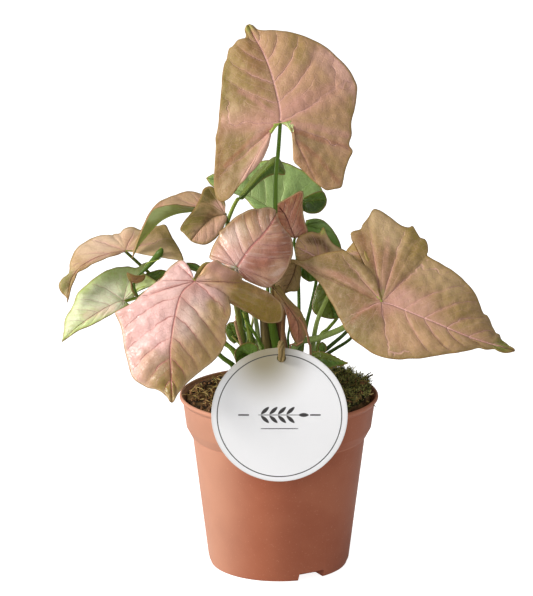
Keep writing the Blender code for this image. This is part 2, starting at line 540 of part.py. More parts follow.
def build_rolled_leaf(finish, group, scratch):
    points = [seen_at(x, z, depth) for x, z, depth, _ in ROLLED_LEAF]
    radii = [(radius * MM,) * 3 for *_, radius in ROLLED_LEAF]
    points, radii = smooth_points(points, 3), smooth_points(radii, 3)[:, 0]
    mesh = tube("leaf_rolled", points, radii, scratch, resolution=2)
    add_object("leaf_rolled", mesh, finish, group)


def petiole_points(name, shoot, route):
    """The middle line of a petiole, from inside what carries it to just under the blade."""
    keys = [seen_at(*point) for point in route]
    if name not in BRANCHES:
        x, y = SHOOTS[shoot]
        keys.insert(0, Vector((x * MM, y * MM, SHOOT_TOP - SHOOT_RADIUS)))
    if name in LEAVES:
        leaf = LEAVES[name]
        base = placed(leaf, leaf["base"])
        under = -facing(leaf) * math.copysign(1, leaf["swell"])
        if "under" in leaf:
            under = Vector(leaf["under"]).normalized()
        keys += [base + under * (SEAT + APPROACH), base + under * SEAT]
    else:
        base, following = (seen_at(x, z, depth) for x, z, depth, _ in ROLLED_LEAF[:2])
        under = (base - following).normalized()
        keys += [base + under * APPROACH, base + under * 2 * GAP]
    line = smooth_points(keys, CURVE_PARTS)
    length = np.linalg.norm(np.diff(line, axis=0), axis=1).sum()
    return evenly_spaced(line, max(2 * len(keys), round(length / PETIOLE_STEP)))


def build_shoot(name, finish, group, scratch):
    """A short stem that stands in the soil, with the petioles that grow from it."""
    x, y = SHOOTS[name]
    bar = cylinder(name, SHOOT_RADIUS, SHOOT_BOTTOM, SHOOT_TOP, SHOOT_SIDES)
    stem = add_object(name, bar, finish, group)
    stem.data.transform(Matrix.Translation((x * MM, y * MM, 0)))
    parts = collection(name + "_petioles")
    for leaf_name, (shoot, radius, route) in {**PETIOLES, **BRANCHES}.items():
        if shoot != name:
            continue
        points = petiole_points(leaf_name, shoot, route)
        radii = np.linspace(*PETIOLE_TAPER, len(points)) * radius * MM
        add_object(name + "_to_" + leaf_name, tube(leaf_name, points, radii, scratch), None, parts)
    boolean(stem, "UNION", parts)
    stem.data = plain_mesh(stem)
    stem.modifiers.clear()
    for part in list(parts.objects):
        bpy.data.objects.remove(part)
    bpy.data.collections.remove(parts)


def outer_wall():
    """The pot's outer side from the lip to the foot."""
    lip = [(share * RIM_RADIUS, height * MM) for share, height in LIP]
    foot = [(FOOT_RADIUS + 0.9 * MM, 1 * MM), (FOOT_RADIUS, 0)]
    return lip + [COLLAR_TOP, COLLAR_BOTTOM, SHOULDER, STEP_LINE, BODY_FOOT] + foot


def inner_wall(inset):
    """The side of the space in the pot from the mouth to the floor, drawn in by an inset."""
    heights = [COLLAR_TOP, COLLAR_BOTTOM, SHOULDER, BODY_FOOT]
    return [(radius - WALL - inset, height) for radius, height in heights]


def build_pot(finish, group, cutters):
    foot = (0, 0)
    top = (0, POT_HEIGHT)
    pot = turned("pot", [top, *outer_wall(), foot], POT_SIDES, finish, group)
    mouth = [(0, POT_HEIGHT + WALL), (RIM_RADIUS - 2.2 * MM, POT_HEIGHT + WALL)]
    floor = [(BODY_FOOT[0] - 2 * WALL, WALL), (0, WALL)]
    space = turned("pot_space", mouth + inner_wall(0) + floor, POT_SIDES, None, cutters)
    space.hide_render = True
    space.display_type = "WIRE"
    for number in range(NOTCHES):
        turn = FIRST_NOTCH - math.pi / 2 + number * 2 * math.pi / NOTCHES
        for name, cut_from, margin in (("hump", space, WALL), ("notch", pot, 0)):
            low = (NOTCH_INNER - margin, -NOTCH_WIDTH / 2 - margin, -WALL)
            high = (RIM_RADIUS, NOTCH_WIDTH / 2 + margin, NOTCH_HEIGHT + margin)
            block = add_cutter(f"{name}_{number + 1}", box(name, low, high), cutters)
            block.rotation_euler.z = turn
            boolean(cut_from, "DIFFERENCE", block)
    boolean(pot, "DIFFERENCE", space)


def build_soil(finish, group, cutters):
    """The root ball: it fills the pot above the humps of the floor and heaps up in the middle."""
    bottom = NOTCH_HEIGHT + WALL + GAP
    side = [point for point in inner_wall(GAP) if point[1] < SOIL_LEVEL and point[1] > bottom]
    heap = [(radius * MM, height * MM) for radius, height in SOIL_HEAP]
    profile = [*heap, *side, (BODY_FOOT[0] - WALL - GAP, bottom), (0, bottom)]
    soil = turned("soil", profile, SOIL_SIDES, finish, group)
    for name, (x, y) in SHOOTS.items():
        hole = cylinder(name + "_hole", SHOOT_RADIUS + GAP, SHOOT_BOTTOM - GAP, SHOOT_TOP, SHOOT_SIDES)
        hole.transform(Matrix.Translation((x * MM, y * MM, 0)))
        boolean(soil, "DIFFERENCE", add_cutter(name + "_hole", hole, cutters))


def build_tag(finish, group, cutters):
    disc = cylinder("tag", TAG_RADIUS, -TAG_THICKNESS / 2, TAG_THICKNESS / 2, TAG_SIDES)
    tag = add_object("tag", disc, finish, group)
    hole = cylinder("tag_hole", HOLE_RADIUS, -TAG_THICKNESS, TAG_THICKNESS, HOLE_SIDES)
    hole.transform(Matrix.Translation(HOLE_PLACE))
    punch = add_cutter("tag_hole", hole, cutters)
    for piece in (tag, punch):
        piece.location = TAG_CENTRE
        piece.rotation_euler.x = math.pi / 2 - TAG_LEAN
    boolean(tag, "DIFFERENCE", punch)


def build_tie(finish, group, scratch):
    points = smooth_points(np.array(TIE_ROUTE) * MM, 3, closed=True)
    mesh = tube("tag_tie", points, [TIE_RADIUS] * len(points), scratch, closed=True)
    add_object("tag_tie", mesh, finish, group)


def build_plant():
    clear_scene()
    group = collection("potted_arrowhead_plant")
    cutters = collection("cutters")
    scratch = collection("scratch")
    build_pot(material("pot_plastic", (0.62, 0.25, 0.15), 0.45), group, cutters)
    build_soil(material("peat", (0.06, 0.04, 0.02), 0.95), group, cutters)
    build_tag(material("card", (0.86, 0.86, 0.84), 0.6), group, cutters)
    build_tie(material("raffia", (0.36, 0.25, 0.12), 0.8), group, scratch)
    stem_finish = material("stem_green", (0.12, 0.24, 0.04), 0.4)
    for name in SHOOTS:
        build_shoot(name, stem_finish, group, scratch)
    finishes = {name: material("leaf_" + name, colour, 0.45) for name, colour in COLOURS.items()}
    for name, leaf in LEAVES.items():
        build_leaf(name, leaf, finishes, group)
    build_rolled_leaf(finishes["deep_green"], group, scratch)
    bpy.data.collections.remove(scratch)


build_plant()
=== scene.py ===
import math

import bmesh
import bpy
import numpy as np
from mathutils import Matrix, Vector, noise


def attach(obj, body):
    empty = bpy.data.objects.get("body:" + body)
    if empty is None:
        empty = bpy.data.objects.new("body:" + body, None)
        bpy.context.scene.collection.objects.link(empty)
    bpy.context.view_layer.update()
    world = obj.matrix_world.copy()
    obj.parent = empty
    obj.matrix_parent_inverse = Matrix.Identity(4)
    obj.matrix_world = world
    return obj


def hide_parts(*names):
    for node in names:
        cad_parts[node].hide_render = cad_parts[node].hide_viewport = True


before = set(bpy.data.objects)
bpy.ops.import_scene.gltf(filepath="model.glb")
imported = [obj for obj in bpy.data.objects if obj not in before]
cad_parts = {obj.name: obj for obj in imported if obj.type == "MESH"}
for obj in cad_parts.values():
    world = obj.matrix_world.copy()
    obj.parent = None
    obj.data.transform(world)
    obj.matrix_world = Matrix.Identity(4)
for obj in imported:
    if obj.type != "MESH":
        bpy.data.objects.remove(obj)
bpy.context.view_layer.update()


# The studio: a camera two metres in front that looks a little down, and a pale floor in a white
# room. A broad lamp at the upper left models the leaves, a wide one in front fills in, and a low
# one at the left rear brightens that side of the pot.
MM = 0.001
CAMERA_PLACE = Vector((-7.5, -2000, 686)) * MM
CAMERA_TILT = math.radians(14.6)
SENSOR_WIDTH = 36
PICTURE_HEIGHT = 596
FOCUS_IN_PIXELS = 3450
PLANT_MIDDLE = (0, 0, 0.18)
POT_MIDDLE = (0, 0, 0.05)
ROOM_STRENGTH = 0.40
FLOOR_HALF = 8
FLOOR_GREY = 0.55
FLOOR_GLOW = (0.2, 0.9)
# Each lamp: its place and aim in metres, its size, its watts and its colour
LAMPS = {
    "key_lamp": ((-1.7, -0.55, 1.0), PLANT_MIDDLE, 0.8, 36, (1, 0.98, 0.95)),
    "front_lamp": ((-0.4, -1.9, 1.1), PLANT_MIDDLE, 1.4, 7, (1, 0.99, 0.97)),
    "side_lamp": ((-1.5, 0.6, 0.25), POT_MIDDLE, 0.9, 12, (1, 1, 1)),
}

view = bpy.data.cameras.new("camera")
view.sensor_width = SENSOR_WIDTH
view.lens = SENSOR_WIDTH * FOCUS_IN_PIXELS / PICTURE_HEIGHT
camera = bpy.data.objects.new("camera", view)
camera.location = CAMERA_PLACE
camera.rotation_euler.x = math.pi / 2 - CAMERA_TILT
bpy.context.scene.collection.objects.link(camera)
bpy.context.scene.camera = camera
bpy.context.scene.view_settings.view_transform = "Standard"

for name, (place, aim, size, watts, colour) in LAMPS.items():
    light = bpy.data.lights.new(name, "AREA")
    light.shape = "DISK"
    light.size = size
    light.energy = watts
    light.color = colour
    lamp = bpy.data.objects.new(name, light)
    lamp.location = place
    lamp.rotation_euler = (Vector(aim) - Vector(place)).to_track_quat("-Z", "Y").to_euler()
    bpy.context.scene.collection.objects.link(lamp)

room = bpy.data.worlds.new("white_room")
room.use_nodes = True
room.node_tree.nodes["Background"].inputs["Color"].default_value = (1, 1, 1, 1)
room.node_tree.nodes["Background"].inputs["Strength"].default_value = ROOM_STRENGTH
bpy.context.scene.world = room


def linear(red, green, blue):
    """A colour as it is seen, 0 to 255, in the linear values that shaders take."""
    seen = np.array([red, green, blue]) / 255
    return tuple(np.where(seen <= 0.04045, seen / 12.92, ((seen + 0.055) / 1.055) ** 2.4))


def surface(name, roughness, **settings):
    """A new material, its nodes, and its Principled shader with plain values set on it."""
    made = bpy.data.materials.new(name)
    made.use_nodes = True
    shader = made.node_tree.nodes["Principled BSDF"]
    shader.inputs["Roughness"].default_value = roughness
    for socket, value in settings.items():
        shader.inputs[socket.replace("_", " ")].default_value = value
    return made, made.node_tree, shader


def new_node(tree, kind, links=(), **settings):
    """Adds a node: settings are its properties, and links feeds its inputs by name or number."""
    made = tree.nodes.new(kind)
    for key, value in settings.items():
        setattr(made, key, value)
    for socket, value in dict(links).items():
        if isinstance(value, bpy.types.NodeSocket):
            tree.links.new(value, made.inputs[socket])
        else:
            made.inputs[socket].default_value = value
    return made


def mesh_from(shape, name):
    """Makes a mesh of a shape that is finished, and frees the shape."""
    mesh = bpy.data.meshes.new(name)
    shape.to_mesh(mesh)
    shape.free()
    return mesh


def add_piece(name, mesh, *finishes):
    made = bpy.data.objects.new(name, mesh)
    for finish in finishes:
        mesh.materials.append(finish)
    bpy.context.scene.collection.objects.link(made)
    return made


paint, tree, shader = surface("white_floor", 0.9)
shader.inputs["Base Color"].default_value = (FLOOR_GREY, FLOOR_GREY, FLOOR_GREY, 1)
shader.inputs["Emission Color"].default_value = (1, 1, 1, 1)
seen = new_node(tree, "ShaderNodeLightPath").outputs["Is Camera Ray"]
glow = new_node(tree, "ShaderNodeMapRange", {0: seen, 3: FLOOR_GLOW[0], 4: FLOOR_GLOW[1]})
tree.links.new(glow.outputs[0], shader.inputs["Emission Strength"])
shape = bmesh.new()
bmesh.ops.create_grid(shape, x_segments=1, y_segments=1, size=FLOOR_HALF)
floor = add_piece("floor", mesh_from(shape, "floor"), paint)


# The nursery pot is one thin moulding of terracotta-coloured plastic with a satin skin. It has a
# rolled lip, a collar on which the next pot in a stack rests, and three notches in its foot.
RIM_RADIUS = 60 * MM
POT_HEIGHT = 106 * MM
WALL = 1.5 * MM
LIP_ROLL = 1.5 * MM
COLLAR_TOP = (57.9 * MM, 101.6 * MM)
COLLAR_BOTTOM = (55.9 * MM, 86.5 * MM)
SHOULDER = (52.9 * MM, 81 * MM)
STEP_LINE = (52.1 * MM, 80.2 * MM)
BODY_FOOT = (42.7 * MM, 3.5 * MM)
FOOT_RADIUS = 41 * MM
POT_STEPS = 160
NOTCHES = 3
NOTCH_WIDTH = 17 * MM
NOTCH_HEIGHT = 5 * MM
NOTCH_INNER = 31 * MM
FIRST_NOTCH = math.radians(28)
UNDER_COLLAR = [(55.6 * MM, 86 * MM), (53.2 * MM, 81.4 * MM)]
MOUTH_RADIUS = 59.4 * MM
MOUTH_ROLL = 1.4 * MM
FOOT_ROLL = 1 * MM
NOTCH_ROUNDING = 0.8 * MM
SHARP_ANGLE = math.radians(32)
POT_COLOUR = linear(174, 103, 75)
POT_SHADE = linear(163, 92, 66)
POT_PALE = linear(204, 140, 112)
# A painted sheen: the pale colour that the pot's left side is mixed towards
POT_PAINTED_SHEEN = linear(218, 188, 162)
SOIL_DUST = linear(120, 84, 58)
# The painted sheen begins this far left of the middle and is full at the second distance
PAINTED_SHEEN_SIDE = (-8 * MM, -42 * MM)
DUSTY_FOOT = 9 * MM
MERGE_DISTANCE = 0.01 * MM
# Lines that stacking has worn pale: the height, the distances from it at which the wear has faded
# out and at which it is full, and its share
WORN_LINES = [(104.4 * MM, 2.2 * MM, 0.4 * MM, 0.3), (80.4 * MM, 0.9 * MM, 0.2 * MM, 0.35)]


def arc(middle, radius, start, end, parts):
    """Points (radius, height) on an arc, from one angle to another, in degrees."""
    turns = np.radians(np.linspace(start, end, parts + 1))
    return [(middle[0] + radius * math.cos(turn), middle[1] + radius * math.sin(turn)) for turn in turns]


def applied(obj):
    """Makes the object's evaluated shape its plain mesh, and takes its modifiers off."""
    bpy.context.view_layer.update()
    evaluated = obj.evaluated_get(bpy.context.evaluated_depsgraph_get())
    obj.data = bpy.data.meshes.new_from_object(evaluated)
    obj.modifiers.clear()


def turned(name, profile, steps):
    mesh = bpy.data.meshes.new(name)
    mesh.from_pydata([(radius, 0, height) for radius, height in profile],
                     [(i, i + 1) for i in range(len(profile) - 1)], [])
    made = add_piece(name, mesh)
    screw = made.modifiers.new("turn", "SCREW")
    screw.steps = screw.render_steps = steps
    screw.use_merge_vertices = True
    screw.merge_threshold = MERGE_DISTANCE
    return made


def cut(obj, block):
    step = obj.modifiers.new("cut", "BOOLEAN")
    step.operation = "DIFFERENCE"
    step.object = block


def notch_block(number, margin):
    """A round-edged box at one notch; a margin makes it the hump that covers the notch inside."""
    shape = bmesh.new()
    bmesh.ops.create_cube(shape, size=1)
    depth = RIM_RADIUS - NOTCH_INNER
    size = (depth + margin, NOTCH_WIDTH + 2 * margin, 2 * (NOTCH_HEIGHT + margin))
    bmesh.ops.scale(shape, vec=size, verts=shape.verts)
    bmesh.ops.translate(shape, vec=(NOTCH_INNER + (depth - margin) / 2, 0, 0), verts=shape.verts)
    turn = FIRST_NOTCH - math.pi / 2 + number * 2 * math.pi / NOTCHES
    bmesh.ops.rotate(shape, matrix=Matrix.Rotation(turn, 3, "Z"), verts=shape.verts)
    made = add_piece("notch_block", mesh_from(shape, "notch_block"))
    edges = made.modifiers.new("edges", "BEVEL")
    edges.width = NOTCH_ROUNDING
    edges.segments = 2
    return made


lip_middle = (RIM_RADIUS - LIP_ROLL, POT_HEIGHT - LIP_ROLL)
lip = arc(lip_middle, LIP_ROLL, 90, -50, 10)
foot = arc((FOOT_RADIUS - 0.4 * MM, FOOT_ROLL), FOOT_ROLL, 0, -90, 4)
collar = [COLLAR_TOP, COLLAR_BOTTOM, *UNDER_COLLAR, SHOULDER, STEP_LINE]
pot = turned("pot_body", [(0, POT_HEIGHT), *lip, *collar, BODY_FOOT, *foot, (0, 0)], POT_STEPS)
inner = [(radius - WALL, height) for radius, height in (COLLAR_TOP, COLLAR_BOTTOM, SHOULDER, BODY_FOOT)]
mouth = [(0, POT_HEIGHT + WALL), (MOUTH_RADIUS, POT_HEIGHT + WALL)]
mouth += arc((MOUTH_RADIUS, POT_HEIGHT - MOUTH_ROLL), MOUTH_ROLL, 90, 200, 6)
space = turned("pot_space", [*mouth, *inner, (BODY_FOOT[0] - 2 * WALL, WALL), (0, WALL)], POT_STEPS)
blocks = []
for number in range(NOTCHES):
    hump, notch = notch_block(number, WALL), notch_block(number, 0)
    cut(space, hump)
    cut(pot, notch)
    blocks += [hump, notch]
cut(pot, space)
applied(pot)
for block in [*blocks, space]:
    bpy.data.objects.remove(block)
pot.data.shade_smooth()
pot.data.set_sharp_from_angle(angle=SHARP_ANGLE)


def group_tree(name, kind, takes, gives):
    """A new node group with its inputs and outputs, named with their kinds of socket: the tree,
    its inputs from outside and the same inputs as its nodes see them."""
    tree = bpy.data.node_groups.new(name, kind)
    inputs = {}
    for title, socket in takes.items():
        inputs[title] = tree.interface.new_socket(title, in_out="INPUT", socket_type="NodeSocket" + socket)
    for title, socket in gives.items():
        tree.interface.new_socket(title, in_out="OUTPUT", socket_type="NodeSocket" + socket)
    return tree, inputs, new_node(tree, "NodeGroupInput").outputs


def grain_group():
    """Fine speckle and broad mottling of a moulded or grown skin, each as a share from 0 to 1."""
    tree, _, sizes = group_tree("skin_grain", "ShaderNodeTree",
                                {"Fine scale": "Float", "Broad scale": "Float"},
                                {"Broad": "Float", "Fine": "Float"})
    place = new_node(tree, "ShaderNodeTexCoord").outputs["Object"]
    shares = {}
    for title, detail in (("Broad", 3), ("Fine", 2)):
        grain = new_node(tree, "ShaderNodeTexNoise", {
            "Vector": place, "Scale": sizes[title + " scale"], "Detail": detail})
        shares[title] = grain.outputs["Fac"]
    new_node(tree, "NodeGroupOutput", shares)
    return tree


skin_grain = grain_group()


def grain_at(tree, fine, broad):
    """The fine and the broad grain of a skin, at these scales."""
    made = new_node(tree, "ShaderNodeGroup", {"Fine scale": fine, "Broad scale": broad}, node_tree=skin_grain)
    return made.outputs["Fine"], made.outputs["Broad"]


def mixed(tree, share, first, second, blend="MIX"):
    """The colour between two colours, at a share from 0 to 1."""
    first, second = ((*end, 1) if isinstance(end, tuple) else end for end in (first, second))
    return new_node(tree, "ShaderNodeMix", {0: share, 6: first, 7: second},
                    data_type="RGBA", blend_type=blend).outputs[2]


def layered(tree, colour, *layers):
    """A colour under others, which are laid over it in turn, each at its share."""
    for share, over in layers:
        colour = mixed(tree, share, colour, over)
    return colour


def spread(tree, value, low, high, bottom=0.0, top=1.0, smooth=True):
    """Maps a value from low..high to bottom..top, eased at both ends."""
    made = new_node(tree, "ShaderNodeMapRange", {0: value, 1: low, 2: high, 3: bottom, 4: top})
    if smooth:
        made.interpolation_type = "SMOOTHSTEP"
    return made.outputs[0]


def maths(tree, operation, first, second=0.0):
    return new_node(tree, "ShaderNodeMath", {0: first, 1: second}, operation=operation).outputs[0]


def times(tree, first, second):
    return maths(tree, "MULTIPLY", first, second)


def distance(tree, value, from_value):
    return maths(tree, "ABSOLUTE", maths(tree, "SUBTRACT", value, from_value))


def vectors(tree, operation, first, second=(0, 0, 0)):
    return new_node(tree, "ShaderNodeVectorMath", {0: first, 1: second}, operation=operation).outputs


def split(tree, vector):
    return new_node(tree, "ShaderNodeSeparateXYZ", {0: vector}).outputs


def painted(tree, shader, colour, height, depth):
    """Gives a shader its colour, and a relief of this depth in metres."""
    tree.links.new(colour, shader.inputs["Base Color"])
    bump = new_node(tree, "ShaderNodeBump", {"Height": height, "Distance": depth, "Strength": 1.0})
    tree.links.new(bump.outputs["Normal"], shader.inputs["Normal"])


pot_plastic, tree, shader = surface("pot_plastic", 0.48, Specular_IOR_Level=0.28)
fine, broad = grain_at(tree, 900, 28)
sideways, _, height = split(tree, new_node(tree, "ShaderNodeTexCoord").outputs["Object"])
# The first layer is a painted sheen that pales the pot's left side
layers = [(spread(tree, sideways, *PAINTED_SHEEN_SIDE, 0, 0.27), POT_PAINTED_SHEEN),
          (spread(tree, fine, 0.62, 0.75, 0, 0.35), POT_PALE)]
for line, faded_out, full, share in WORN_LINES:
    layers.append((spread(tree, distance(tree, height, line), faded_out, full, 0, share), POT_PALE))
smudge = times(tree, spread(tree, broad, 0.55, 0.75), spread(tree, height, DUSTY_FOOT, 0.0, 0, 0.35))
colour = mixed(tree, spread(tree, broad, 0.35, 0.7), POT_COLOUR, POT_SHADE)
painted(tree, shader, layered(tree, colour, *layers, (smudge, SOIL_DUST)), fine, 0.04 * MM)
tree.links.new(spread(tree, broad, 0.3, 0.7, 0.46, 0.56), shader.inputs["Roughness"])
shader.inputs["Specular Tint"].default_value = (1, 0.85, 0.75, 1)
pot.data.materials.append(pot_plastic)
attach(pot, "root")
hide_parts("pot")


# The root ball is brown peat that fills the pot to 5 mm under its lip. Loose crumbs and yellow
# fibres lie on it, and cushions of dark moss grow on it, most of them at the right of the plant.
SOIL_PLAY = 0.3 * MM
SOIL_BOTTOM = NOTCH_HEIGHT + WALL + SOIL_PLAY
SOIL_EDGE = 55.4 * MM
# Distances from the middle in mm, and the soil's height there
SOIL_HEIGHTS = ((0, 14, 28, 42, 51, 56), (102, 101.8, 102.5, 103.5, 104.2, 104))
SOIL_TOP_FROM = 90
# Each cushion of moss: its middle, its reach and its height, in mm
MOSS_CUSHIONS = [(36, -16, 18, 6.5), (46, 2, 13, 9), (47, -17, 10, 6.5), (24, -34, 15, 3), (36, 24, 15, 8.5),
                 (-8, 42, 16, 1.5)]
MOSS_COVERS = 2.5
MOSS_REACH = 54.9
LITTER_REACH = 53.9
CRUMBLE = 1.3
CRUMB_SIZE = 7
SOIL_RINGS = 46
SOIL_SPOKES = 150


def moss_height(x, y):
    """How high the moss stands over the peat at a place, all in mm."""
    return max(h * math.exp(-((x - cx) ** 2 + (y - cy) ** 2) / r ** 2) for cx, cy, r, h in MOSS_CUSHIONS)


def soil_height(x, y):
    radius = math.hypot(x, y)
    rough = noise.fractal(Vector((x, y, 0)) / CRUMB_SIZE, 1.0, 2.1, 5)
    return np.interp(radius, *SOIL_HEIGHTS) + CRUMBLE * rough + moss_height(x, y)


def on_top(place, reach):
    """Whether a place in mm is on the soil's upper side, within a reach of its middle."""
    return place.z > SOIL_TOP_FROM and math.hypot(place.x, place.y) < reach


shape = bmesh.new()
rings = []
turns = [2 * math.pi * spoke / SOIL_SPOKES for spoke in range(SOIL_SPOKES)]
spokes = [(math.cos(turn), math.sin(turn)) for turn in turns]
for ring in range(1, SOIL_RINGS + 1):
    radius = SOIL_EDGE / MM * ring / SOIL_RINGS
    spots = [(radius * across, radius * along) for across, along in spokes]
    rings.append([shape.verts.new(Vector((x, y, soil_height(x, y))) * MM) for x, y in spots])
for radius, height in (COLLAR_BOTTOM, SHOULDER, (BODY_FOOT[0], SOIL_BOTTOM)):
    radius -= WALL + SOIL_PLAY
    rings.append([shape.verts.new((radius * across, radius * along, height)) for across, along in spokes])
middle = shape.verts.new((0, 0, soil_height(0, 0) * MM))
for spoke in range(SOIL_SPOKES):
    following = (spoke + 1) % SOIL_SPOKES
    shape.faces.new((middle, rings[0][spoke], rings[0][following]))
    for low, high in zip(rings[:-1], rings[1:]):
        shape.faces.new((low[spoke], high[spoke], high[following], low[following]))
shape.faces.new(rings[-1][::-1])
soil_mesh = mesh_from(shape, "root_ball")
soil_mesh.shade_smooth()
tops = [vertex.co / MM for vertex in soil_mesh.vertices]
mossy = [min(1, moss_height(top.x, top.y) / MOSS_COVERS) * on_top(top, MOSS_REACH) for top in tops]
for title, shares in (("moss", mossy), ("litter", [float(on_top(top, LITTER_REACH)) for top in tops])):
    soil_mesh.attributes.new(title, "FLOAT", "POINT").data.foreach_set("value", shares)

peat, tree, shader = surface("peat", 0.95, Specular_IOR_Level=0.15)
fine, broad = grain_at(tree, 1500, 160)
moss_mask = new_node(tree, "ShaderNodeAttribute", attribute_name="moss").outputs["Fac"]
earth = mixed(tree, spread(tree, broad, 0.35, 0.65), linear(44, 31, 20), linear(112, 84, 52))
under_moss = mixed(tree, spread(tree, broad, 0.4, 0.7), linear(34, 36, 16), linear(70, 68, 30))
speckle = spread(tree, fine, 0.58, 0.7, 0, 0.5)
colour = layered(tree, earth, (speckle, linear(150, 120, 78)), (moss_mask, under_moss))
painted(tree, shader, colour, fine, 0.8 * MM)
root_ball = add_piece("root_ball", soil_mesh, peat)
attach(root_ball, "root")
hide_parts("soil")


def scatter_tree(name, finish):
    """Strews copies of one small piece over a surface, thick where its named weight is high."""
    tree, sockets, given = group_tree(name, "GeometryNodeTree", {
        "Geometry": "Geometry", "Piece": "Object", "Weight": "String", "Per square metre": "Float",
        "Smallest": "Float", "Largest": "Float", "Lean": "Float", "Seed": "Int"}, {"Geometry": "Geometry"})
    weight = new_node(tree, "GeometryNodeInputNamedAttribute", {"Name": given["Weight"]}, data_type="FLOAT")
    spots = new_node(tree, "GeometryNodeDistributePointsOnFaces", {
        "Mesh": given["Geometry"], "Seed": given["Seed"],
        "Density": times(tree, weight.outputs["Attribute"], given["Per square metre"])})
    piece = new_node(tree, "GeometryNodeObjectInfo", {"Object": given["Piece"]})
    spin = new_node(tree, "FunctionNodeRandomValue", {
        "Min": (-1, -1, -math.pi), "Max": (1, 1, math.pi), "Seed": given["Seed"]}, data_type="FLOAT_VECTOR")
    leaning = new_node(tree, "ShaderNodeCombineXYZ", {0: given["Lean"], 1: given["Lean"], 2: 1.0})
    turn = vectors(tree, "MULTIPLY", spin.outputs[0], leaning.outputs[0])[0]
    size = new_node(tree, "FunctionNodeRandomValue", {
        "Min": given["Smallest"], "Max": given["Largest"], "Seed": given["Seed"]}, data_type="FLOAT")
    copies = new_node(tree, "GeometryNodeInstanceOnPoints", {
        "Points": spots.outputs["Points"], "Instance": piece.outputs["Geometry"],
        "Rotation": turn, "Scale": size.outputs[1]})
    real = new_node(tree, "GeometryNodeRealizeInstances", {"Geometry": copies.outputs[0]})
    done = new_node(tree, "GeometryNodeSetMaterial", {"Geometry": real.outputs[0], "Material": finish})
    new_node(tree, "NodeGroupOutput", {"Geometry": done.outputs[0]})
    return tree, sockets


def strewn(name, finish, values):
    """A piece made of the copies that a scatter tree lays on the soil."""
    tree, sockets = scatter_tree(name, finish)
    made = add_piece(name, soil_mesh.copy())
    step = made.modifiers.new("strew", "NODES")
    step.node_group = tree
    for title, value in values.items():
        step[sockets[title].identifier] = value
    applied(made)
    made.data.shade_smooth()
    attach(made, "root")


CRUMB_ROUGHNESS = 0.5
CRUMB_BUMPS = 1.7
CRUMB_FLATNESS = 0.7


def crumb(shape):
    bmesh.ops.create_icosphere(shape, subdivisions=1, radius=1 * MM)
    for vertex in shape.verts:
        vertex.co *= 1 + CRUMB_ROUGHNESS * noise.noise(vertex.co / MM * CRUMB_BUMPS + Vector((3, 1, 7)))
        vertex.co.z *= CRUMB_FLATNESS


def strand(shape, points, radii, sides):
    """A thin closed tube through points given in mm."""
    rings = []
    for i, (point, radius) in enumerate(zip(points, radii)):
        ahead = Vector(points[min(i + 1, len(points) - 1)]) - Vector(points[max(i - 1, 0)])
        turn = ahead.to_track_quat("Z", "Y")
        ring = []
        for side in range(sides):
            angle = 2 * math.pi * side / sides
            spot = turn @ Vector((radius * math.cos(angle), radius * math.sin(angle), 0))
            ring.append(shape.verts.new((Vector(point) + spot) * MM))
        rings.append(ring)
    for low, high in zip(rings[:-1], rings[1:]):
        for side in range(sides):
            following = (side + 1) % sides
            shape.faces.new((low[side], low[following], high[following], high[side]))
    shape.faces.new(rings[0][::-1])
    shape.faces.new(rings[-1])


def smooth_points(keys, parts, closed=False):
    """Points on a smooth curve through the keys, with the given number in each stretch."""
    keys = np.array(keys, float)
    if closed:
        padded = np.vstack([keys[-1], keys, keys[:2]])
    else:
        padded = np.vstack([2 * keys[0] - keys[1], keys, 2 * keys[-1] - keys[-2]])
    points = []
    for a, b, c, d in zip(padded[:-3], padded[1:-2], padded[2:-1], padded[3:]):
        square = 2 * a - 5 * b + 4 * c - d
        cube = 3 * b - a - 3 * c + d
        for u in np.arange(parts) / parts:
            points.append(b + u / 2 * (c - a + u * (square + u * cube)))
    if not closed:
        points.append(keys[-1])
    return np.array(points)


FIBRE_POINTS = [(-5, 0, 0.2), (-2.5, 0.8, 0.9), (0, 0.2, 1.1), (2.6, -0.9, 0.7), (5, -0.6, 0.1)]
FIBRE_RADII = (0.12, 0.2, 0.22, 0.18, 0.08)
TUFT_LEAVES = 9
TUFT_TURN = 2.4
TUFT_LEAF_HALF = 0.16
TUFT_LEAF_THICKNESS = 0.08
TUFT_LEAF_STEP = 0.25
TUFT_LEAF_RISE = (0.5, 0.1)
TUFT_LEAF_REACH = (1.1, -0.06)
TUFT_LEAF_SAG = 0.1


def fibre(shape):
    strand(shape, FIBRE_POINTS, FIBRE_RADII, 4)


def moss_tuft(shape):
    """A stalk with small pointed leaves that stand out from it on all sides."""
    for leaf in range(TUFT_LEAVES):
        turn = TUFT_TURN * leaf
        rise = TUFT_LEAF_RISE[0] + TUFT_LEAF_RISE[1] * leaf
        reach = TUFT_LEAF_REACH[0] + TUFT_LEAF_REACH[1] * leaf
        out = Vector((math.cos(turn), math.sin(turn), 0))
        beside = Vector((-out.y, out.x, 0)) * TUFT_LEAF_HALF
        root = Vector((0, 0, TUFT_LEAF_STEP * leaf))
        tip = root + out * reach + Vector((0, 0, rise))
        belly = (root + tip) / 2 - Vector((0, 0, TUFT_LEAF_SAG))
        spots = [root, belly - beside, tip, belly + beside]
        low_side = [shape.verts.new(spot * MM) for spot in spots]
        top_side = [shape.verts.new((spot + Vector((0, 0, TUFT_LEAF_THICKNESS))) * MM) for spot in spots]
        shape.faces.new(low_side[::-1])
        shape.faces.new(top_side)
        for a in range(4):
            b = (a + 1) % 4
            shape.faces.new((low_side[a], low_side[b], top_side[b], top_side[a]))


def plain_finish(name, roughness, dark, pale, broad_scale=300):
    """A dull, earthy finish whose colour varies from piece to piece."""
    made, tree, shader = surface(name, roughness, Specular_IOR_Level=0.25)
    fine, broad = grain_at(tree, 2000, broad_scale)
    colour = mixed(tree, spread(tree, broad, 0.38, 0.62), linear(*dark), linear(*pale))
    painted(tree, shader, colour, fine, 0.2 * MM)
    return made


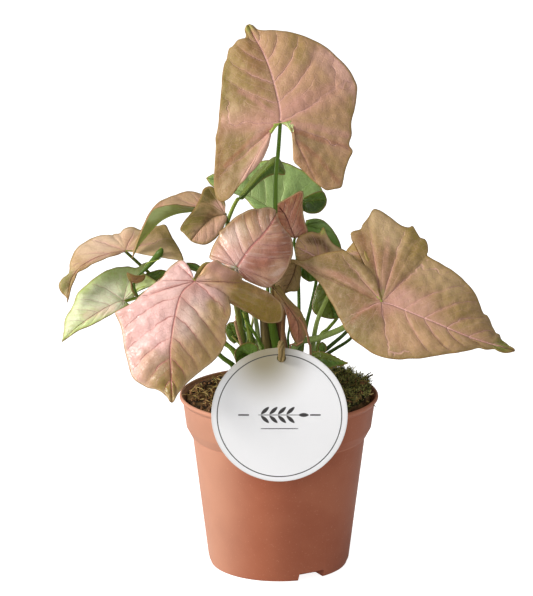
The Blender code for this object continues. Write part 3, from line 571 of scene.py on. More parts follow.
# What is strewn: its shape and finish, and where it lies, how many to the square metre, its smallest
# and largest size, its lean in radians and its seed
STREWN_INPUTS = ("Weight", "Per square metre", "Smallest", "Largest", "Lean", "Seed")
STREWN = {
    "peat_crumbs": (crumb, (0.95, (34, 20, 12), (150, 108, 72), 600), ("litter", 120000.0, 0.4, 2.3, 1.5, 4)),
    "peat_fibres": (fibre, (0.85, (136, 104, 56), (232, 204, 136)), ("litter", 52000.0, 0.4, 1.6, 0.9, 9)),
    "moss": (moss_tuft, (0.8, (48, 52, 22), (178, 176, 104), 420), ("moss", 330000.0, 0.7, 2.0, 0.9, 2)),
}
for name, (build, finish, values) in STREWN.items():
    shape = bmesh.new()
    build(shape)
    pattern = add_piece("pattern", mesh_from(shape, "pattern"))
    strewn(name, plain_finish(name, *finish), {"Piece": pattern, **dict(zip(STREWN_INPUTS, values))})
    bpy.data.objects.remove(pattern)

# Dry moss stalks that lie over the moss and stand out over the rim at the right: how thick each is
# at its root, and its route in mm
STALK_TIP = 0.7
STRAY_STALKS = [
    (0.45, [(49.7, 6, 109.7), (51.4, 6, 112.9), (53.2, 6, 115.4), (55.6, 6, 117)]),
    (0.75, [(48.9, 2, 109.6), (51.3, 2, 113.4), (53.7, 2, 115.3), (56.7, 2, 116.8)]),
    (0.55, [(51.4, 4, 108.4), (52.6, 4, 110.9), (54.4, 4, 112.8)]),
    (0.5, [(52.5, 0, 108.3), (54.3, 0, 110.2), (55.8, 0, 111.5)]),
    (0.35, [(45.7, 16, 106.9), (46.6, 16, 110), (46.3, 16, 112.5)]),
    (0.35, [(40.9, 20, 108.2), (39.1, 20, 112), (38.7, 20, 114.6)]),
    (0.4, [(43.2, 14, 108.7), (44.7, 14, 111.2), (45.6, 14, 111.9)]),
    (0.45, [(52, -20, 106.6), (55, -20, 105.4), (57.7, -20, 103.2)]),
    (0.4, [(43.8, -12, 111.2), (48.6, -12, 112.4), (53.4, -12, 109.9)]),
    (0.4, [(42.2, -28, 107.1), (46.4, -28, 109.6), (49.3, -28, 112.1)]),
    (0.35, [(42.1, -6, 111.9), (46.3, -6, 112.6), (50.5, -6, 110), (53, -6, 106.9)]),
]
shape = bmesh.new()
for thick, points in STRAY_STALKS:
    line = smooth_points(points, 4)
    strand(shape, line, np.linspace(thick, STALK_TIP * thick, len(line)), 6)
stray = add_piece("moss_stalks", mesh_from(shape, "moss_stalks"),
                  plain_finish("moss_stalks", 0.8, (62, 50, 24), (146, 122, 66)))
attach(stray, "root")


# The tag is a round, smooth white card with a hole near its top, printed with a thin dark ring
# and a plain leaf sprig between two short rules, over a longer thin one. It leans back a little,
# and a faint olive painted shadow lies on its upper left.
TAG_RADIUS = 40 * MM
TAG_THICKNESS = 0.8 * MM
TAG_CENTRE = Vector((0.1, -60.4, 110)) * MM
TAG_LEAN = math.radians(4.5)
HOLE_PLACE = (1.2 * MM, 34 * MM)
HOLE_RADIUS = 2.6 * MM
CARD_EDGE = 0.12 * MM
WELD = 0.005 * MM
TAG_POINTS = 180
HOLE_POINTS = 40
RING_RADIUS = 36.5
RING_LINE = 0.4
RING_DROP = 0.5
# Where the grey of the handled rim and the painted olive shadow begin and where they are full, in mm
HANDLED_EDGE = (38.6, 40.2)
PAINTED_SHADOW_MIDDLE = (-9, 34, 0)
PAINTED_SHADOW_REACH = (34, 2)
INK = linear(58, 56, 56)
# Each printed oval, in mm: its middle, its half sizes, its turn, and how square its corners are
SPRIG_STEM = (0, 0, 12.5, 0.22, 0, 6)
RULES = [(-21, 0, 3.2, 0.45, 0, 6), (21, 0, 3.2, 0.45, 0, 6), (0, -8.2, 11, 0.25, 0, 6)]
SPRIG_LEAVES = [(-8.5 + 5 * i, side * 2.6, 3.2, 1.1, side * 0.75, 1.6) for i in range(4) for side in (-1, 1)]
SPRIG_TIP = (14.2, 0, 3.0, 1.2, 0, 1.6)

outline = bpy.data.curves.new("tag", "CURVE")
outline.dimensions = "2D"
outline.fill_mode = "BOTH"
outline.extrude = TAG_THICKNESS / 2 - CARD_EDGE
outline.bevel_depth = CARD_EDGE
outline.bevel_resolution = 1
for radius, (middle_x, middle_y), count in ((TAG_RADIUS - CARD_EDGE, (0, 0), TAG_POINTS),
                                            (HOLE_RADIUS + CARD_EDGE, HOLE_PLACE, HOLE_POINTS)):
    loop = outline.splines.new("POLY")
    loop.points.add(count - 1)
    loop.use_cyclic_u = True
    for i, knot in enumerate(loop.points):
        turn = 2 * math.pi * i / count
        knot.co = (middle_x + radius * math.cos(turn), middle_y + radius * math.sin(turn), 0, 1)
card = bpy.data.objects.new("card", outline)
bpy.context.scene.collection.objects.link(card)
bpy.context.view_layer.update()
tag_mesh = bpy.data.meshes.new_from_object(card.evaluated_get(bpy.context.evaluated_depsgraph_get()))
bpy.data.objects.remove(card)
shape = bmesh.new()
shape.from_mesh(tag_mesh)
bmesh.ops.remove_doubles(shape, verts=shape.verts, dist=WELD)
bmesh.ops.recalc_face_normals(shape, faces=shape.faces)
print_map = shape.loops.layers.uv.new("print")
for face in shape.faces:
    for corner in face.loops:
        corner[print_map].uv = corner.vert.co.xy / MM
bmesh.ops.rotate(shape, matrix=Matrix.Rotation(math.pi / 2 - TAG_LEAN, 3, "X"), verts=shape.verts)
bmesh.ops.translate(shape, vec=TAG_CENTRE, verts=shape.verts)
shape.to_mesh(tag_mesh)
shape.free()
tag_mesh.materials.clear()


def mark_group():
    """One printed oval, with its middle, half sizes and turn in mm and radians on the print map."""
    tree, _, given = group_tree("printed_oval", "ShaderNodeTree", {
        "Middle": "Vector", "Half size": "Vector", "Turn": "Float", "Squareness": "Float"}, {"Mask": "Float"})
    own = new_node(tree, "ShaderNodeUVMap", uv_map="print").outputs["UV"]
    turned_back = new_node(tree, "ShaderNodeVectorRotate", {
        "Vector": vectors(tree, "SUBTRACT", own, given["Middle"])[0], "Angle": given["Turn"]},
        rotation_type="Z_AXIS")
    shares = split(tree, vectors(tree, "DIVIDE", turned_back.outputs[0], given["Half size"])[0])
    along, across = (maths(tree, "POWER", maths(tree, "ABSOLUTE", shares[i]), given["Squareness"])
                     for i in (0, 1))
    new_node(tree, "NodeGroupOutput", {"Mask": spread(tree, maths(tree, "ADD", along, across), 1.15, 0.85)})
    return tree


printed_oval = mark_group()
card_finish, tree, shader = surface("card", 0.5, Specular_IOR_Level=0.4)
fine, broad = grain_at(tree, 2600, 30)
own = new_node(tree, "ShaderNodeUVMap", uv_map="print").outputs["UV"]
from_ring = vectors(tree, "LENGTH", vectors(tree, "ADD", own, (0, RING_DROP, 0))[0])["Value"]
ink = spread(tree, distance(tree, from_ring, RING_RADIUS), RING_LINE, 0.5 * RING_LINE)
for x, y, half_along, half_across, turn, squareness in [SPRIG_STEM, *RULES, *SPRIG_LEAVES, SPRIG_TIP]:
    oval = new_node(tree, "ShaderNodeGroup", {
        "Middle": (x, y, 0), "Half size": (half_along, half_across, 1), "Turn": -turn,
        "Squareness": squareness}, node_tree=printed_oval)
    ink = maths(tree, "MAXIMUM", ink, oval.outputs["Mask"])
toward_front = split(tree, new_node(tree, "ShaderNodeNewGeometry").outputs["Normal"])["Y"]
ink = times(tree, ink, spread(tree, toward_front, -0.3, -0.6))
white = mixed(tree, spread(tree, broad, 0.3, 0.7), linear(250, 250, 252), linear(246, 246, 248))
handled = spread(tree, vectors(tree, "LENGTH", own)["Value"], *HANDLED_EDGE, 0, 0.35)
# A painted olive shadow, strongest at the card's upper left
painted_shadow = spread(tree, vectors(tree, "DISTANCE", own, PAINTED_SHADOW_MIDDLE)["Value"], *PAINTED_SHADOW_REACH, 0, 0.9)
colour = layered(tree, white, (handled, linear(196, 190, 178)), (painted_shadow, linear(136, 124, 86)), (ink, INK))
painted(tree, shader, colour, fine, 0.02 * MM)
tag = add_piece("card_tag", tag_mesh, card_finish)
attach(tag, "root")
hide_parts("tag")


# The three large leaves are mature arrowhead blades of thin, satin, slightly quilted tissue: pink
# in front, tan with pink veins at the top and at the right. Each sits on the tip of its petiole.
EYE = CAMERA_PLACE
BLADE_THICKNESS = 0.5 * MM
FORWARD_SWEEP = 0.2
FULL_SWELL_WIDTH = 15 * MM
CURVE_PARTS = 8
FINE_GRAIN = 1.0 * MM
TOOTH = 2.6 * MM
ROOT_SHARE = 0.6
PUCKER = 0.55
PATCH_EDGE = 4.5
RAGGEDNESS = 0.22
WAVE_SIZE = 14
PUCKER_SIZE = 4.5
WIDE_GAP = 9
# The groove over the midrib and the rib under it: how deep in metres, and how wide in mm
GROOVE = (0.22 * MM, 0.6)
RIB = (0.5 * MM, 0.9)
ROOT_STEPS = 50
WANDER_SCALE = 110
NET_SCALE = 330
NET_WARP = 3.5 * MM
STREAK_SCALES = (4, 1.6, 25)
# How strongly the finer parts of the pattern show
NET_SHARE = 0.14
MARGIN_SHARE = 0.5
RIM_SHARE = 0.7
UNDERSIDE_SHARES = {"Lines": 0.35, "Midrib": 0.7}

# The colours of leaf and stem as they are seen, 0 to 255
TISSUE = {name: linear(*seen) for name, seen in {
    "blush": (228, 178, 168), "pink": (208, 154, 140), "cream_pink": (246, 222, 212),
    "rose": (204, 132, 124), "dusky": (148, 104, 76),
    "dark_rose": (118, 60, 50), "peach": (212, 168, 136), "brick": (174, 112, 88), "tan": (176, 142, 102),
    "sand": (206, 178, 136), "brown": (146, 108, 66), "dark_brown": (92, 66, 38), "ochre": (158, 134, 76),
    "olive_gold": (148, 122, 44), "olive": (126, 114, 48), "dark_olive": (98, 86, 42),
    "moss": (106, 118, 44), "leaf_green": (108, 142, 58), "sage": (160, 186, 120),
    "pale_green": (206, 222, 154), "milk": (232, 232, 204), "deep_green": (82, 108, 38),
    "night_green": (58, 80, 28), "lime": (168, 184, 84), "khaki": (166, 137, 94), "grass": (98, 130, 36),
    "drab": (138, 116, 78), "fawn": (192, 154, 114), "gold": (190, 158, 98), "reed": (156, 164, 88),
    "rosy": (236, 190, 184), "pearl": (250, 218, 210), "honey": (216, 178, 114), "umber": (120, 103, 62),
}.items()}


def evenly_spaced(points, count):
    """count + 1 points at even distances along a run of points."""
    along = np.concatenate([[0], np.cumsum(np.linalg.norm(np.diff(points, axis=0), axis=1))])
    wanted = np.linspace(0, along[-1], count + 1)
    return np.column_stack([np.interp(wanted, along, points[:, axis]) for axis in range(3)])


def seen_at(x, z, depth):
    """The point at this depth (mm) that the front elevation shows at x, z (mm)."""
    on_sheet = Vector((x, 0, z)) * MM
    return EYE + (on_sheet - EYE) * (depth * MM - EYE.y) / -EYE.y


def drawn_at(points):
    """Where the front elevation shows these points: x and z in mm."""
    eye = np.array(EYE)
    on_sheet = eye + (points - eye) * (-eye[1] / (points[:, 1:2] - eye[1]))
    return on_sheet[:, [0, 2]] / MM


def placed(leaf, point):
    """A drawn point of a leaf, set on the leaf's leaning plane and lifted off it."""
    x, z = point[:2]
    lift = point[2] if len(point) > 2 else 0
    base_x, base_z = leaf["base"]
    lean_x, lean_z = leaf["lean"]
    return seen_at(x, z, leaf["depth"] + lean_x * (x - base_x) + lean_z * (z - base_z) - lift)


def facing(leaf):
    lean_x, lean_z = leaf["lean"]
    return np.array(Vector((lean_x, -1, lean_z)).normalized())


def run_length(points):
    return np.linalg.norm(np.diff(points, axis=0), axis=1).sum()


def half_blade(leaf, side, grain):
    """One half of a blade: its points, row by row from midrib to margin, with the number of the
    vein and the share of the way across at each, and the distances in mm that the skin needs."""
    midrib = [leaf["base"], *leaf["midrib"], leaf["tip"]]
    midrib = smooth_points([placed(leaf, point) for point in midrib], CURVE_PARTS)
    margin = [placed(leaf, point) for point in [*leaf[side], leaf["tip"]]]
    margin = smooth_points(margin, CURVE_PARTS)
    axis = midrib[-1] - midrib[0]
    forward = (margin - midrib[0]) @ axis / (axis @ axis)
    behind = np.nonzero(forward[:-2] < FORWARD_SWEEP)[0]
    shoulder = behind[-1] if len(behind) > 1 else 2
    lobe_veins, blade_veins = leaf["veins"]
    lobe_rows = max(2 * lobe_veins, round(run_length(margin[:shoulder + 1]) / grain))
    blade_rows = max(2 * blade_veins, round(run_length(midrib) / grain))
    lobe = evenly_spaced(margin[:shoulder + 1], lobe_rows)
    blade = evenly_spaced(margin[shoulder:], blade_rows)
    ends = np.vstack([lobe, blade[1:]])
    starts = np.tile(midrib[0], (lobe_rows, 1))
    root = leaf.get(side + "_root")
    if root:
        edge = evenly_spaced(np.array([placed(leaf, point) for point in [*root, leaf["base"]]]), ROOT_STEPS)
        sliding = np.minimum(ROOT_STEPS, np.arange(lobe_rows) / lobe_rows / ROOT_SHARE * ROOT_STEPS)
        starts = np.column_stack([
            np.interp(sliding, np.arange(ROOT_STEPS + 1), edge[:, axis]) for axis in range(3)])
    starts = np.vstack([starts, evenly_spaced(midrib, blade_rows)])
    row = np.concatenate([np.linspace(0, lobe_veins, lobe_rows + 1),
                          lobe_veins + np.linspace(0, blade_veins, blade_rows + 1)[1:]])
    if "teeth" in leaf:
        along = np.concatenate([[0], np.cumsum(np.linalg.norm(np.diff(ends, axis=0), axis=1))])
        notch = (along / TOOTH) % 1 * np.minimum(1, (along[-1] - along) / (2 * TOOTH))
        inward = (starts - ends) / np.maximum(np.linalg.norm(starts - ends, axis=1), 1e-6)[:, None]
        ends = ends + inward * (leaf["teeth"] * MM * notch)[:, None]
    width = np.linalg.norm(ends - starts, axis=1)
    steps = max(4, round(width.max() / grain))
    step = np.linspace(0, 1, steps + 1)[None, :]
    arch = leaf["swell"] * MM * np.minimum(1, width / FULL_SWELL_WIDTH)[:, None] * 4 * step * (1 - step)
    points = starts[:, None] * (1 - step[..., None]) + ends[:, None] * step[..., None]
    points = points + arch[..., None] * facing(leaf)
    sweep = np.interp(row, [0, lobe_veins, lobe_veins + 1, lobe_veins + blade_veins],
                      [0, 0, leaf["bend"], 0.6 * leaf["bend"]])
    vein = row[:, None] - sweep[:, None] * step ** 1.6
    slope = np.gradient(points, axis=0) / np.gradient(row)[:, None, None]
    gap = np.linalg.norm(slope, axis=2) / MM
    across = np.broadcast_to(step, vein.shape)
    off_midrib = step * width[:, None] / MM
    off_margin = (1 - step) * width[:, None] / MM
    which = np.full_like(vein, side == "right")
    return points, np.stack([vein, across, off_midrib, off_margin, gap, which], axis=2)


def blade_sheet(leaf, grain):
    """The middle surface of a blade: points, triangles and quads, and the skin's values at corners."""
    points, facts, faces, corners = [], [], [], []
    count = 0
    for side in ("left", "right"):
        grid, values = half_blade(leaf, side, grain)
        rows, steps = grid.shape[:2]
        points.append(grid.reshape(-1, 3))
        facts.append(values.reshape(-1, 6))
        number = count + np.arange(rows * steps).reshape(rows, steps)
        count += rows * steps
        quads = np.stack([number[:-1, :-1], number[1:, :-1], number[1:, 1:], number[:-1, 1:]], axis=2)
        quads = quads.reshape(-1, 4)
        faces += list(quads if side == "left" else quads[:, ::-1])
    points, facts = np.vstack(points), np.vstack(facts)
    _, first, merged = np.unique(np.round(points, 7), axis=0, return_index=True, return_inverse=True)
    merged = merged.ravel()
    kept_faces = []
    for face in faces:
        places = merged[face]
        keep = [i for i in range(4) if places[i] != places[i - 1]]
        if len(set(places[keep])) >= 3:
            kept_faces.append(places[keep])
            corners.append(facts[face[keep]])
    return points[first], facts[first], kept_faces, corners


def vertex_normals(points, faces):
    normals = np.zeros_like(points)
    for face in faces:
        normal = np.cross(points[face[1]] - points[face[0]], points[face[-1]] - points[face[0]])
        normals[face] += normal
    return normals / np.maximum(np.linalg.norm(normals, axis=1, keepdims=True), 1e-12)


def tints(grounds, patches, drawn, is_right):
    """The colour of each point: the ground of its half of the blade, under patches and streaks. A
    patch is one place x, z or the places along its middle, its reach in mm, a tissue, a strength."""
    left, right = (np.array(TISSUE[name]) for name in grounds)
    colour = np.where(is_right[:, None] > 0, right, left)
    ragged = RAGGEDNESS * np.array([noise.noise(Vector((x, z, 0)) / PATCH_EDGE) for x, z in drawn])
    for *path, reach, name, strength in patches:
        places = np.array(path).reshape(-1, 2)
        away = np.linalg.norm(drawn - places[0], axis=1)
        for start, end in zip(places[:-1], places[1:]):
            run = end - start
            along = np.clip((drawn - start) @ run / (run @ run), 0, 1)[:, None]
            away = np.minimum(away, np.linalg.norm(drawn - start - along * run, axis=1))
        share = strength * np.exp(-np.maximum(0, away / reach + ragged) ** 3)[:, None]
        colour = colour * (1 - share) + np.array(TISSUE[name]) * share
    return np.column_stack([colour, np.ones(len(colour))])


def build_blade(name, leaf, drawn_plain=True):
    """A blade as a closed, thin solid: a quilted upper skin, an underside with ribs, and a rim. It
    takes the place of the plain solid of the same name where there is one."""
    middle, facts, faces, corners = blade_sheet(leaf, FINE_GRAIN)
    normals = vertex_normals(middle, faces)
    side = math.copysign(1, leaf["swell"]) * leaf.get("turned", 1)
    if normals.sum(axis=0) @ facing(leaf) * side < 0:
        faces = [face[::-1] for face in faces]
        corners = [corner[::-1] for corner in corners]
        normals = -normals
    vein, across, off_midrib, off_margin, gap, is_right = facts.T
    waves, puckers = (np.array([noise.noise(Vector(point) / (size * MM)) for point in middle])
                      for size in (WAVE_SIZE, PUCKER_SIZE))
    inside = np.sin(math.pi * across) ** 0.6
    room = np.minimum(gap, WIDE_GAP) / WIDE_GAP
    puff = leaf["quilt"] * room * inside * np.abs(np.sin(math.pi * vein)) ** 0.7
    puff -= 0.25 * leaf["quilt"] * room * inside * np.abs(np.cos(math.pi * vein)) ** 8
    puff += PUCKER * leaf["quilt"] * puckers * inside
    lift = MM * (puff + 0.9 * leaf["quilt"] * waves * across + leaf["ruffle"] * puckers * across ** 3)
    groove = GROOVE[0] * np.exp(-(off_midrib / GROOVE[1]) ** 2) * (across < 1)
    ridge = RIB[0] * np.exp(-(off_midrib / RIB[1]) ** 2) * np.minimum(1, off_margin / 4)
    half = BLADE_THICKNESS / 2
    upper = middle + normals * (lift + half - groove)[:, None]
    under = middle + normals * (lift - half - ridge)[:, None]
    count = len(middle)
    edges = {(int(a), int(b)) for face in faces for a, b in zip(face, np.roll(face, -1))}
    rim = sorted((a, b) for a, b in edges if (b, a) not in edges)
    all_faces = [list(map(int, face)) for face in faces]
    all_faces += [[int(i) + count for i in face[::-1]] for face in faces]
    all_faces += [[b, a, a + count, b + count] for a, b in rim]
    mesh = bpy.data.meshes.new(name)
    mesh.from_pydata(np.vstack([upper, under]).tolist(), [], all_faces)
    rims = [facts[[b, a, a, b]] for a, b in rim]
    values = np.vstack([*corners, *[corner[::-1] for corner in corners], *rims])
    mesh.uv_layers.new(name="veins").uv.foreach_set("vector", values[:, :2].astype(np.float32).ravel())
    offsets = mesh.attributes.new("offsets", "FLOAT_VECTOR", "CORNER")
    offsets.data.foreach_set("vector", values[:, 2:5].astype(np.float32).ravel())
    drawn = drawn_at(middle)
    colours = mesh.attributes.new("tint", "FLOAT_COLOR", "POINT")
    above = tints(leaf["upper"], leaf.get("patches", ()), drawn, is_right)
    below = tints(leaf["lower"], leaf.get("lower_patches", ()), drawn, is_right)
    colours.data.foreach_set("color", np.vstack([above, below]).astype(np.float32).ravel())
    mesh.polygons.foreach_set("material_index", [0] * len(faces) + [1] * len(faces) + [0] * len(rim))
    mesh.shade_smooth()
    made = add_piece(name, mesh, *FINISHES[leaf.get("look", leaf["finish"])])
    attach(made, "root")
    if drawn_plain:
        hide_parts(name)


def vein_group():
    """The veins of a blade from its own values: the lines, the midrib, the flush of colour beside
    them, the pale margin, a net of fine veins, and the relief that all of them give."""
    widths = dict.fromkeys(("Line width", "Midrib width", "Flush width"), "Float")
    masks = dict.fromkeys(("Lines", "Midrib", "Flush", "Margin", "Rim", "Net", "Streaks", "Relief"), "Float")
    tree, _, sizes = group_tree("blade_veins", "ShaderNodeTree", widths, masks)
    vein, across, _ = split(tree, new_node(tree, "ShaderNodeUVMap", uv_map="veins").outputs["UV"])
    offsets = new_node(tree, "ShaderNodeAttribute", attribute_name="offsets").outputs["Vector"]
    off_midrib, off_margin, gap = split(tree, offsets)
    place = new_node(tree, "ShaderNodeTexCoord").outputs["Object"]
    wander = new_node(tree, "ShaderNodeTexNoise", {
        "Vector": place, "Scale": WANDER_SCALE, "Detail": 2}).outputs
    number = maths(tree, "ADD", vein, spread(tree, wander["Fac"], 0.2, 0.8, -0.1, 0.1, False))
    in_blade = times(tree, spread(tree, vein, 0.3, 0.6), spread(tree, off_margin, 0.4, 4.0))
    width = times(tree, sizes["Line width"], spread(tree, across, 0.0, 1.0, 1.1, 0.5, False))
    away = times(tree, maths(tree, "PINGPONG", number, 0.5), gap)
    between = times(tree, maths(tree, "PINGPONG", maths(tree, "ADD", number, 0.5), 0.5), gap)
    between = spread(tree, between, times(tree, width, 0.8), 0.0, 0.0, 0.35)
    between = times(tree, between, spread(tree, gap, 4.0, 8.0))
    lines = times(tree, maths(tree, "MAXIMUM", spread(tree, away, width, 0.0), between), in_blade)
    lines = times(tree, lines, spread(tree, wander["Fac"], 0.32, 0.6, 0.35, 1.0))
    midrib = spread(tree, off_midrib, sizes["Midrib width"], times(tree, sizes["Midrib width"], 0.3))
    midrib = times(tree, midrib, spread(tree, off_margin, 0.5, 7.0))
    beside = times(tree, spread(tree, away, sizes["Flush width"], 0.0), in_blade)
    flush = maths(tree, "MAXIMUM", beside, spread(tree, off_midrib, 6.0, 0.0, 0.0, 0.7))
    flush = times(tree, flush, spread(tree, across, 0.1, 1.0, 1.0, 0.25))
    flush = times(tree, flush, spread(tree, off_margin, 2.0, 14.0))
    bent = new_node(tree, "ShaderNodeVectorMath", {
        0: wander["Color"], 1: (NET_WARP,) * 3, 2: place}, operation="MULTIPLY_ADD")
    cells = new_node(tree, "ShaderNodeTexVoronoi", {
        "Vector": bent.outputs[0], "Scale": NET_SCALE}, feature="DISTANCE_TO_EDGE")
    net = spread(tree, cells.outputs["Distance"], 0.09, 0.0)
    streak_places = zip((vein, across, split(tree, place)["X"]), STREAK_SCALES)
    combed = new_node(tree, "ShaderNodeCombineXYZ", {
        i: times(tree, value, scale) for i, (value, scale) in enumerate(streak_places)})
    streaks = new_node(tree, "ShaderNodeTexNoise", {
        "Vector": combed.outputs[0], "Scale": 1.0, "Detail": 6, "Roughness": 0.6}).outputs["Fac"]
    relief = maths(tree, "ADD", maths(tree, "ADD", times(tree, lines, 0.8), midrib), times(tree, net, 0.22))
    new_node(tree, "NodeGroupOutput", {
        "Lines": lines, "Midrib": midrib, "Flush": flush, "Margin": spread(tree, off_margin, 1.9, 1.0),
        "Rim": spread(tree, off_margin, 0.8, 0.4), "Net": net, "Streaks": streaks, "Relief": relief})
    return tree


blade_veins = vein_group()


def veins_at(tree, line_width, midrib_width, flush_width):
    return new_node(tree, "ShaderNodeGroup", {
        "Line width": line_width, "Midrib width": midrib_width, "Flush width": flush_width},
        node_tree=blade_veins).outputs


def blade_finish(name, line, flush, margin, shares, roughness, mottle, line_width=0.45,
                 midrib_width=0.55, flush_width=2.2, mottling=0.5, gloss=0.25):
    """The two skins of a blade. Shares say how strongly the vein lines, the midrib and the flush
    beside them colour the upper skin, and mottle names two tissues that show through in streaks."""
    upper, tree, shader = surface("leaf_" + name, roughness, Specular_IOR_Level=gloss)
    veins = veins_at(tree, line_width, midrib_width, flush_width)
    fine, broad = grain_at(tree, 1400, 75)
    layers = [(spread(tree, veins["Streaks"], 0.5, 0.68, 0.0, mottling), TISSUE[mottle[0]]),
              (spread(tree, veins["Streaks"], 0.48, 0.3, 0.0, mottling), TISSUE[mottle[1]])]
    for mask, share, tissue in (
            ("Flush", shares[2], flush), ("Net", NET_SHARE, line), ("Lines", shares[0], line),
            ("Midrib", shares[1], line), ("Margin", MARGIN_SHARE, margin), ("Rim", RIM_SHARE, "brown")):
        layers.append((times(tree, veins[mask], share), TISSUE[tissue]))
    tint = new_node(tree, "ShaderNodeAttribute", attribute_name="tint").outputs["Color"]
    blotch = spread(tree, grain_at(tree, 700, 42)[0], 0.35, 0.65, 0.0, 0.36)
    colour = mixed(tree, blotch, layered(tree, tint, *layers), (0.85, 0.79, 0.7), "MULTIPLY")
    painted(tree, shader, colour, maths(tree, "SUBTRACT", times(tree, fine, 0.3), veins["Relief"]), 0.4 * MM)
    dulled = spread(tree, broad, 0.3, 0.7, roughness - 0.06, roughness + 0.08)
    tree.links.new(dulled, shader.inputs["Roughness"])

    under, tree, shader = surface("leaf_" + name + "_underside", roughness + 0.15, Specular_IOR_Level=0.2)
    veins = veins_at(tree, 1.2 * line_width, 1.4 * midrib_width, flush_width)
    fine, broad = grain_at(tree, 1400, 60)
    tint = new_node(tree, "ShaderNodeAttribute", attribute_name="tint").outputs["Color"]
    colour = mixed(tree, spread(tree, broad, 0.3, 0.75, 0, 0.4), tint, (0.8, 0.78, 0.7), "MULTIPLY")
    for mask, share in UNDERSIDE_SHARES.items():
        colour = mixed(tree, times(tree, veins[mask], share), colour, TISSUE["lime"])
    painted(tree, shader, colour, maths(tree, "ADD", fine, veins["Relief"]), 0.15 * MM)
    return upper, under


# Each finish: tissues of the vein lines, the flush and the margin, shares, roughness and mottling,
# and where they differ the widths of line, midrib and flush in mm, the mottling's share, the gloss
FINISHES = {name: blade_finish(name, *values) for name, values in {
    "pink": ("rose", "rose", "sand", (0.8, 0.9, 0.3), 0.3, ("cream_pink", "peach"), 0.5, 0.6, 1.6, 0.1, 0.42),
    "tan": ("blush", "pink", "ochre", (0.6, 0.85, 0.4), 0.4, ("sand", "brown"), 0.6, 0.9, 3.0, 0.2, 0.18),
    "rose": ("dark_rose", "blush", "sand", (0.45, 0.9, 0.3), 0.26, ("sand", "dusky")),
    "copper": ("rose", "blush", "sand", (0.5, 0.95, 0.35), 0.24, ("cream_pink", "dusky"),
               0.6, 1.0, 2.6, 0.35, 0.5),
    "olive": ("tan", "tan", "ochre", (0.4, 0.7, 0.3), 0.40, ("tan", "dark_olive")),
    "brown": ("dark_brown", "rose", "olive", (0.4, 0.7, 0.2), 0.42, ("tan", "dusky")),
    "pale_green": ("blush", "milk", "lime", (0.5, 0.6, 0.5), 0.42, ("milk", "lime")),
    "mid_green": ("pale_green", "pale_green", "lime", (0.4, 0.8, 0.3), 0.40, ("sage", "leaf_green")),
    "deep_green": ("moss", "leaf_green", "moss", (0.4, 0.8, 0.25), 0.22, ("leaf_green", "night_green"),
                   0.45, 0.55, 2.2, 0.5, 0.3),
}.items()}

# A leaf is drawn on a front elevation in mm, x to the right and z up, from its base to its tip,
# and a third number lifts a point towards the eye. Its depth and lean set it in the room. What its
# table doesn't say is as here.
PLAIN_LEAF = dict(finish="deep_green", veins=(2, 3), swell=1.5, bend=0.8, quilt=0.3, ruffle=0.3,
                  lower=("moss", "moss"))
ALL_LEAVES = {}


def build_leaves(leaves):
    for name, leaf in leaves.items():
        ALL_LEAVES[name] = {**PLAIN_LEAF, **leaf}
        build_blade(name, ALL_LEAVES[name])


